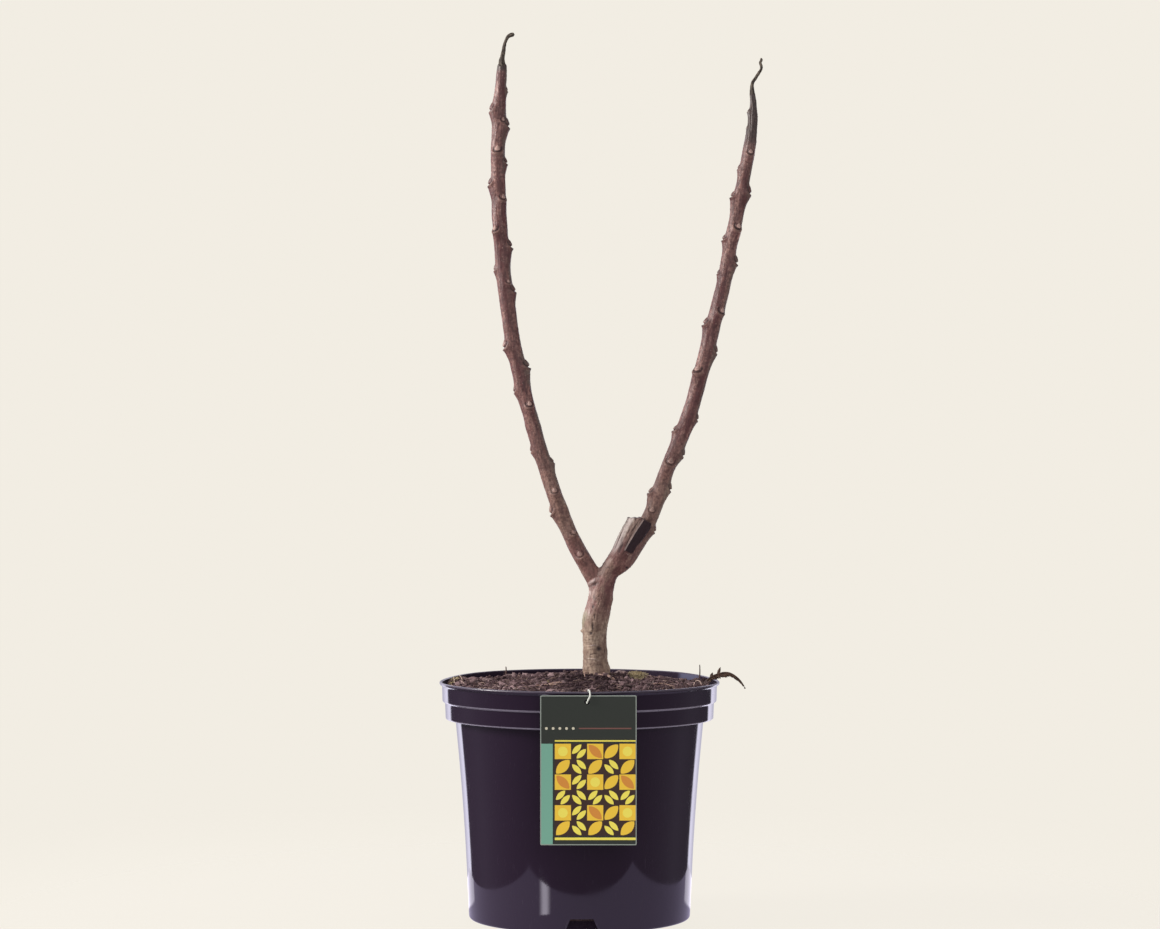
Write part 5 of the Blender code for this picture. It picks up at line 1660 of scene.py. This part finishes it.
def makeWorld():
    # a bright backdrop behind the plant and a dim room before it; the camera sees plain cream
    world = bpy.data.worlds.new("studio")
    bpy.context.scene.world = world
    world.use_nodes = True
    tree = world.node_tree
    tree.nodes.clear()
    way = tree.nodes.new("ShaderNodeTexCoord").outputs["Generated"]
    split = tree.nodes.new("ShaderNodeSeparateXYZ")
    tree.links.new(way, split.inputs[0])
    path = tree.nodes.new("ShaderNodeLightPath").outputs
    back = rangeNode(tree, split.outputs[1], *studio["backdropEdge"])
    back = mathNode(tree, "MULTIPLY", back, rangeNode(tree, split.outputs[1], 0.80, 1.0, 1.0, studio["backdropEnd"]))
    glow = mathNode(tree, "MULTIPLY", mathNode(tree, "MULTIPLY", back, path["Is Glossy Ray"]), studio["backdrop"])
    around = rangeNode(tree, split.outputs[1], -0.5, 0.5, studio["soft"], studio["softBack"])
    facing = rangeNode(tree, split.outputs[1], -0.9, 0.6, studio["glossFront"], studio["glossSide"])
    facing = mathNode(tree, "MULTIPLY", facing, rangeNode(tree, split.outputs[1], 0.25, 0.75, 1.0, studio["glossLate"]))
    dull = mathNode(tree, "MULTIPLY", facing, path["Is Glossy Ray"])
    soft = mathNode(tree, "MULTIPLY", around, mathNode(tree, "SUBTRACT", 1.0, path["Is Glossy Ray"]))
    strength = mathNode(tree, "ADD", glow, mathNode(tree, "ADD", dull, soft))
    lit = tree.nodes.new("ShaderNodeBackground")
    tint = mixColor(tree, path["Is Glossy Ray"], (1.0, 0.95, 0.92), (0.90, 0.87, 1.06))
    tree.links.new(tint, lit.inputs["Color"])
    tree.links.new(strength, lit.inputs["Strength"])
    seen = tree.nodes.new("ShaderNodeBackground")
    seen.inputs["Color"].default_value = (*studio["cream"], 1.0)
    mix = tree.nodes.new("ShaderNodeMixShader")
    tree.links.new(path["Is Camera Ray"], mix.inputs[0])
    tree.links.new(lit.outputs[0], mix.inputs[1])
    tree.links.new(seen.outputs[0], mix.inputs[2])
    tree.links.new(mix.outputs[0], tree.nodes.new("ShaderNodeOutputWorld").inputs["Surface"])


def addLight(name, at, size, power, color, aim=(0, 0, 0.5)):
    data = bpy.data.lights.new(name, "AREA")
    data.shape = "SQUARE"
    data.size = size
    data.energy = power
    data.color = color
    light = bpy.data.objects.new(name, data)
    light.location = at
    light.rotation_euler = (Vector(at) - Vector(aim)).to_track_quat("Z", "Y").to_euler()
    bpy.context.scene.collection.objects.link(light)


makeFloor()
makeWorld()
addLight("key", studio["keyAt"], studio["keySize"], studio["key"], (1.0, 0.97, 0.93))
addLight("fill", studio["fillAt"], studio["fillSize"], studio["fill"], (1.0, 0.97, 0.98))

camera = {"away": 3.2, "height": 0.48, "focal": 3200.0, "sensor": 36.0, "frame": (1160, 929),
          "axisColumn": 579.5, "horizonRow": 436.7}
lensData = bpy.data.cameras.new("camera")
lensData.sensor_width = camera["sensor"]
lensData.lens = camera["focal"] * camera["sensor"] / camera["frame"][0]
lensData.shift_x = (camera["frame"][0] / 2 - camera["axisColumn"]) / camera["frame"][0]
lensData.shift_y = (camera["horizonRow"] - camera["frame"][1] / 2) / camera["frame"][0]
lens = bpy.data.objects.new("camera", lensData)
lens.location = (0, -camera["away"], camera["height"])
lens.rotation_euler = (math.pi / 2, 0, 0)
bpy.context.scene.collection.objects.link(lens)
bpy.context.scene.camera = lens
bpy.context.scene.view_settings.view_transform = "Standard"
print("studio ready")
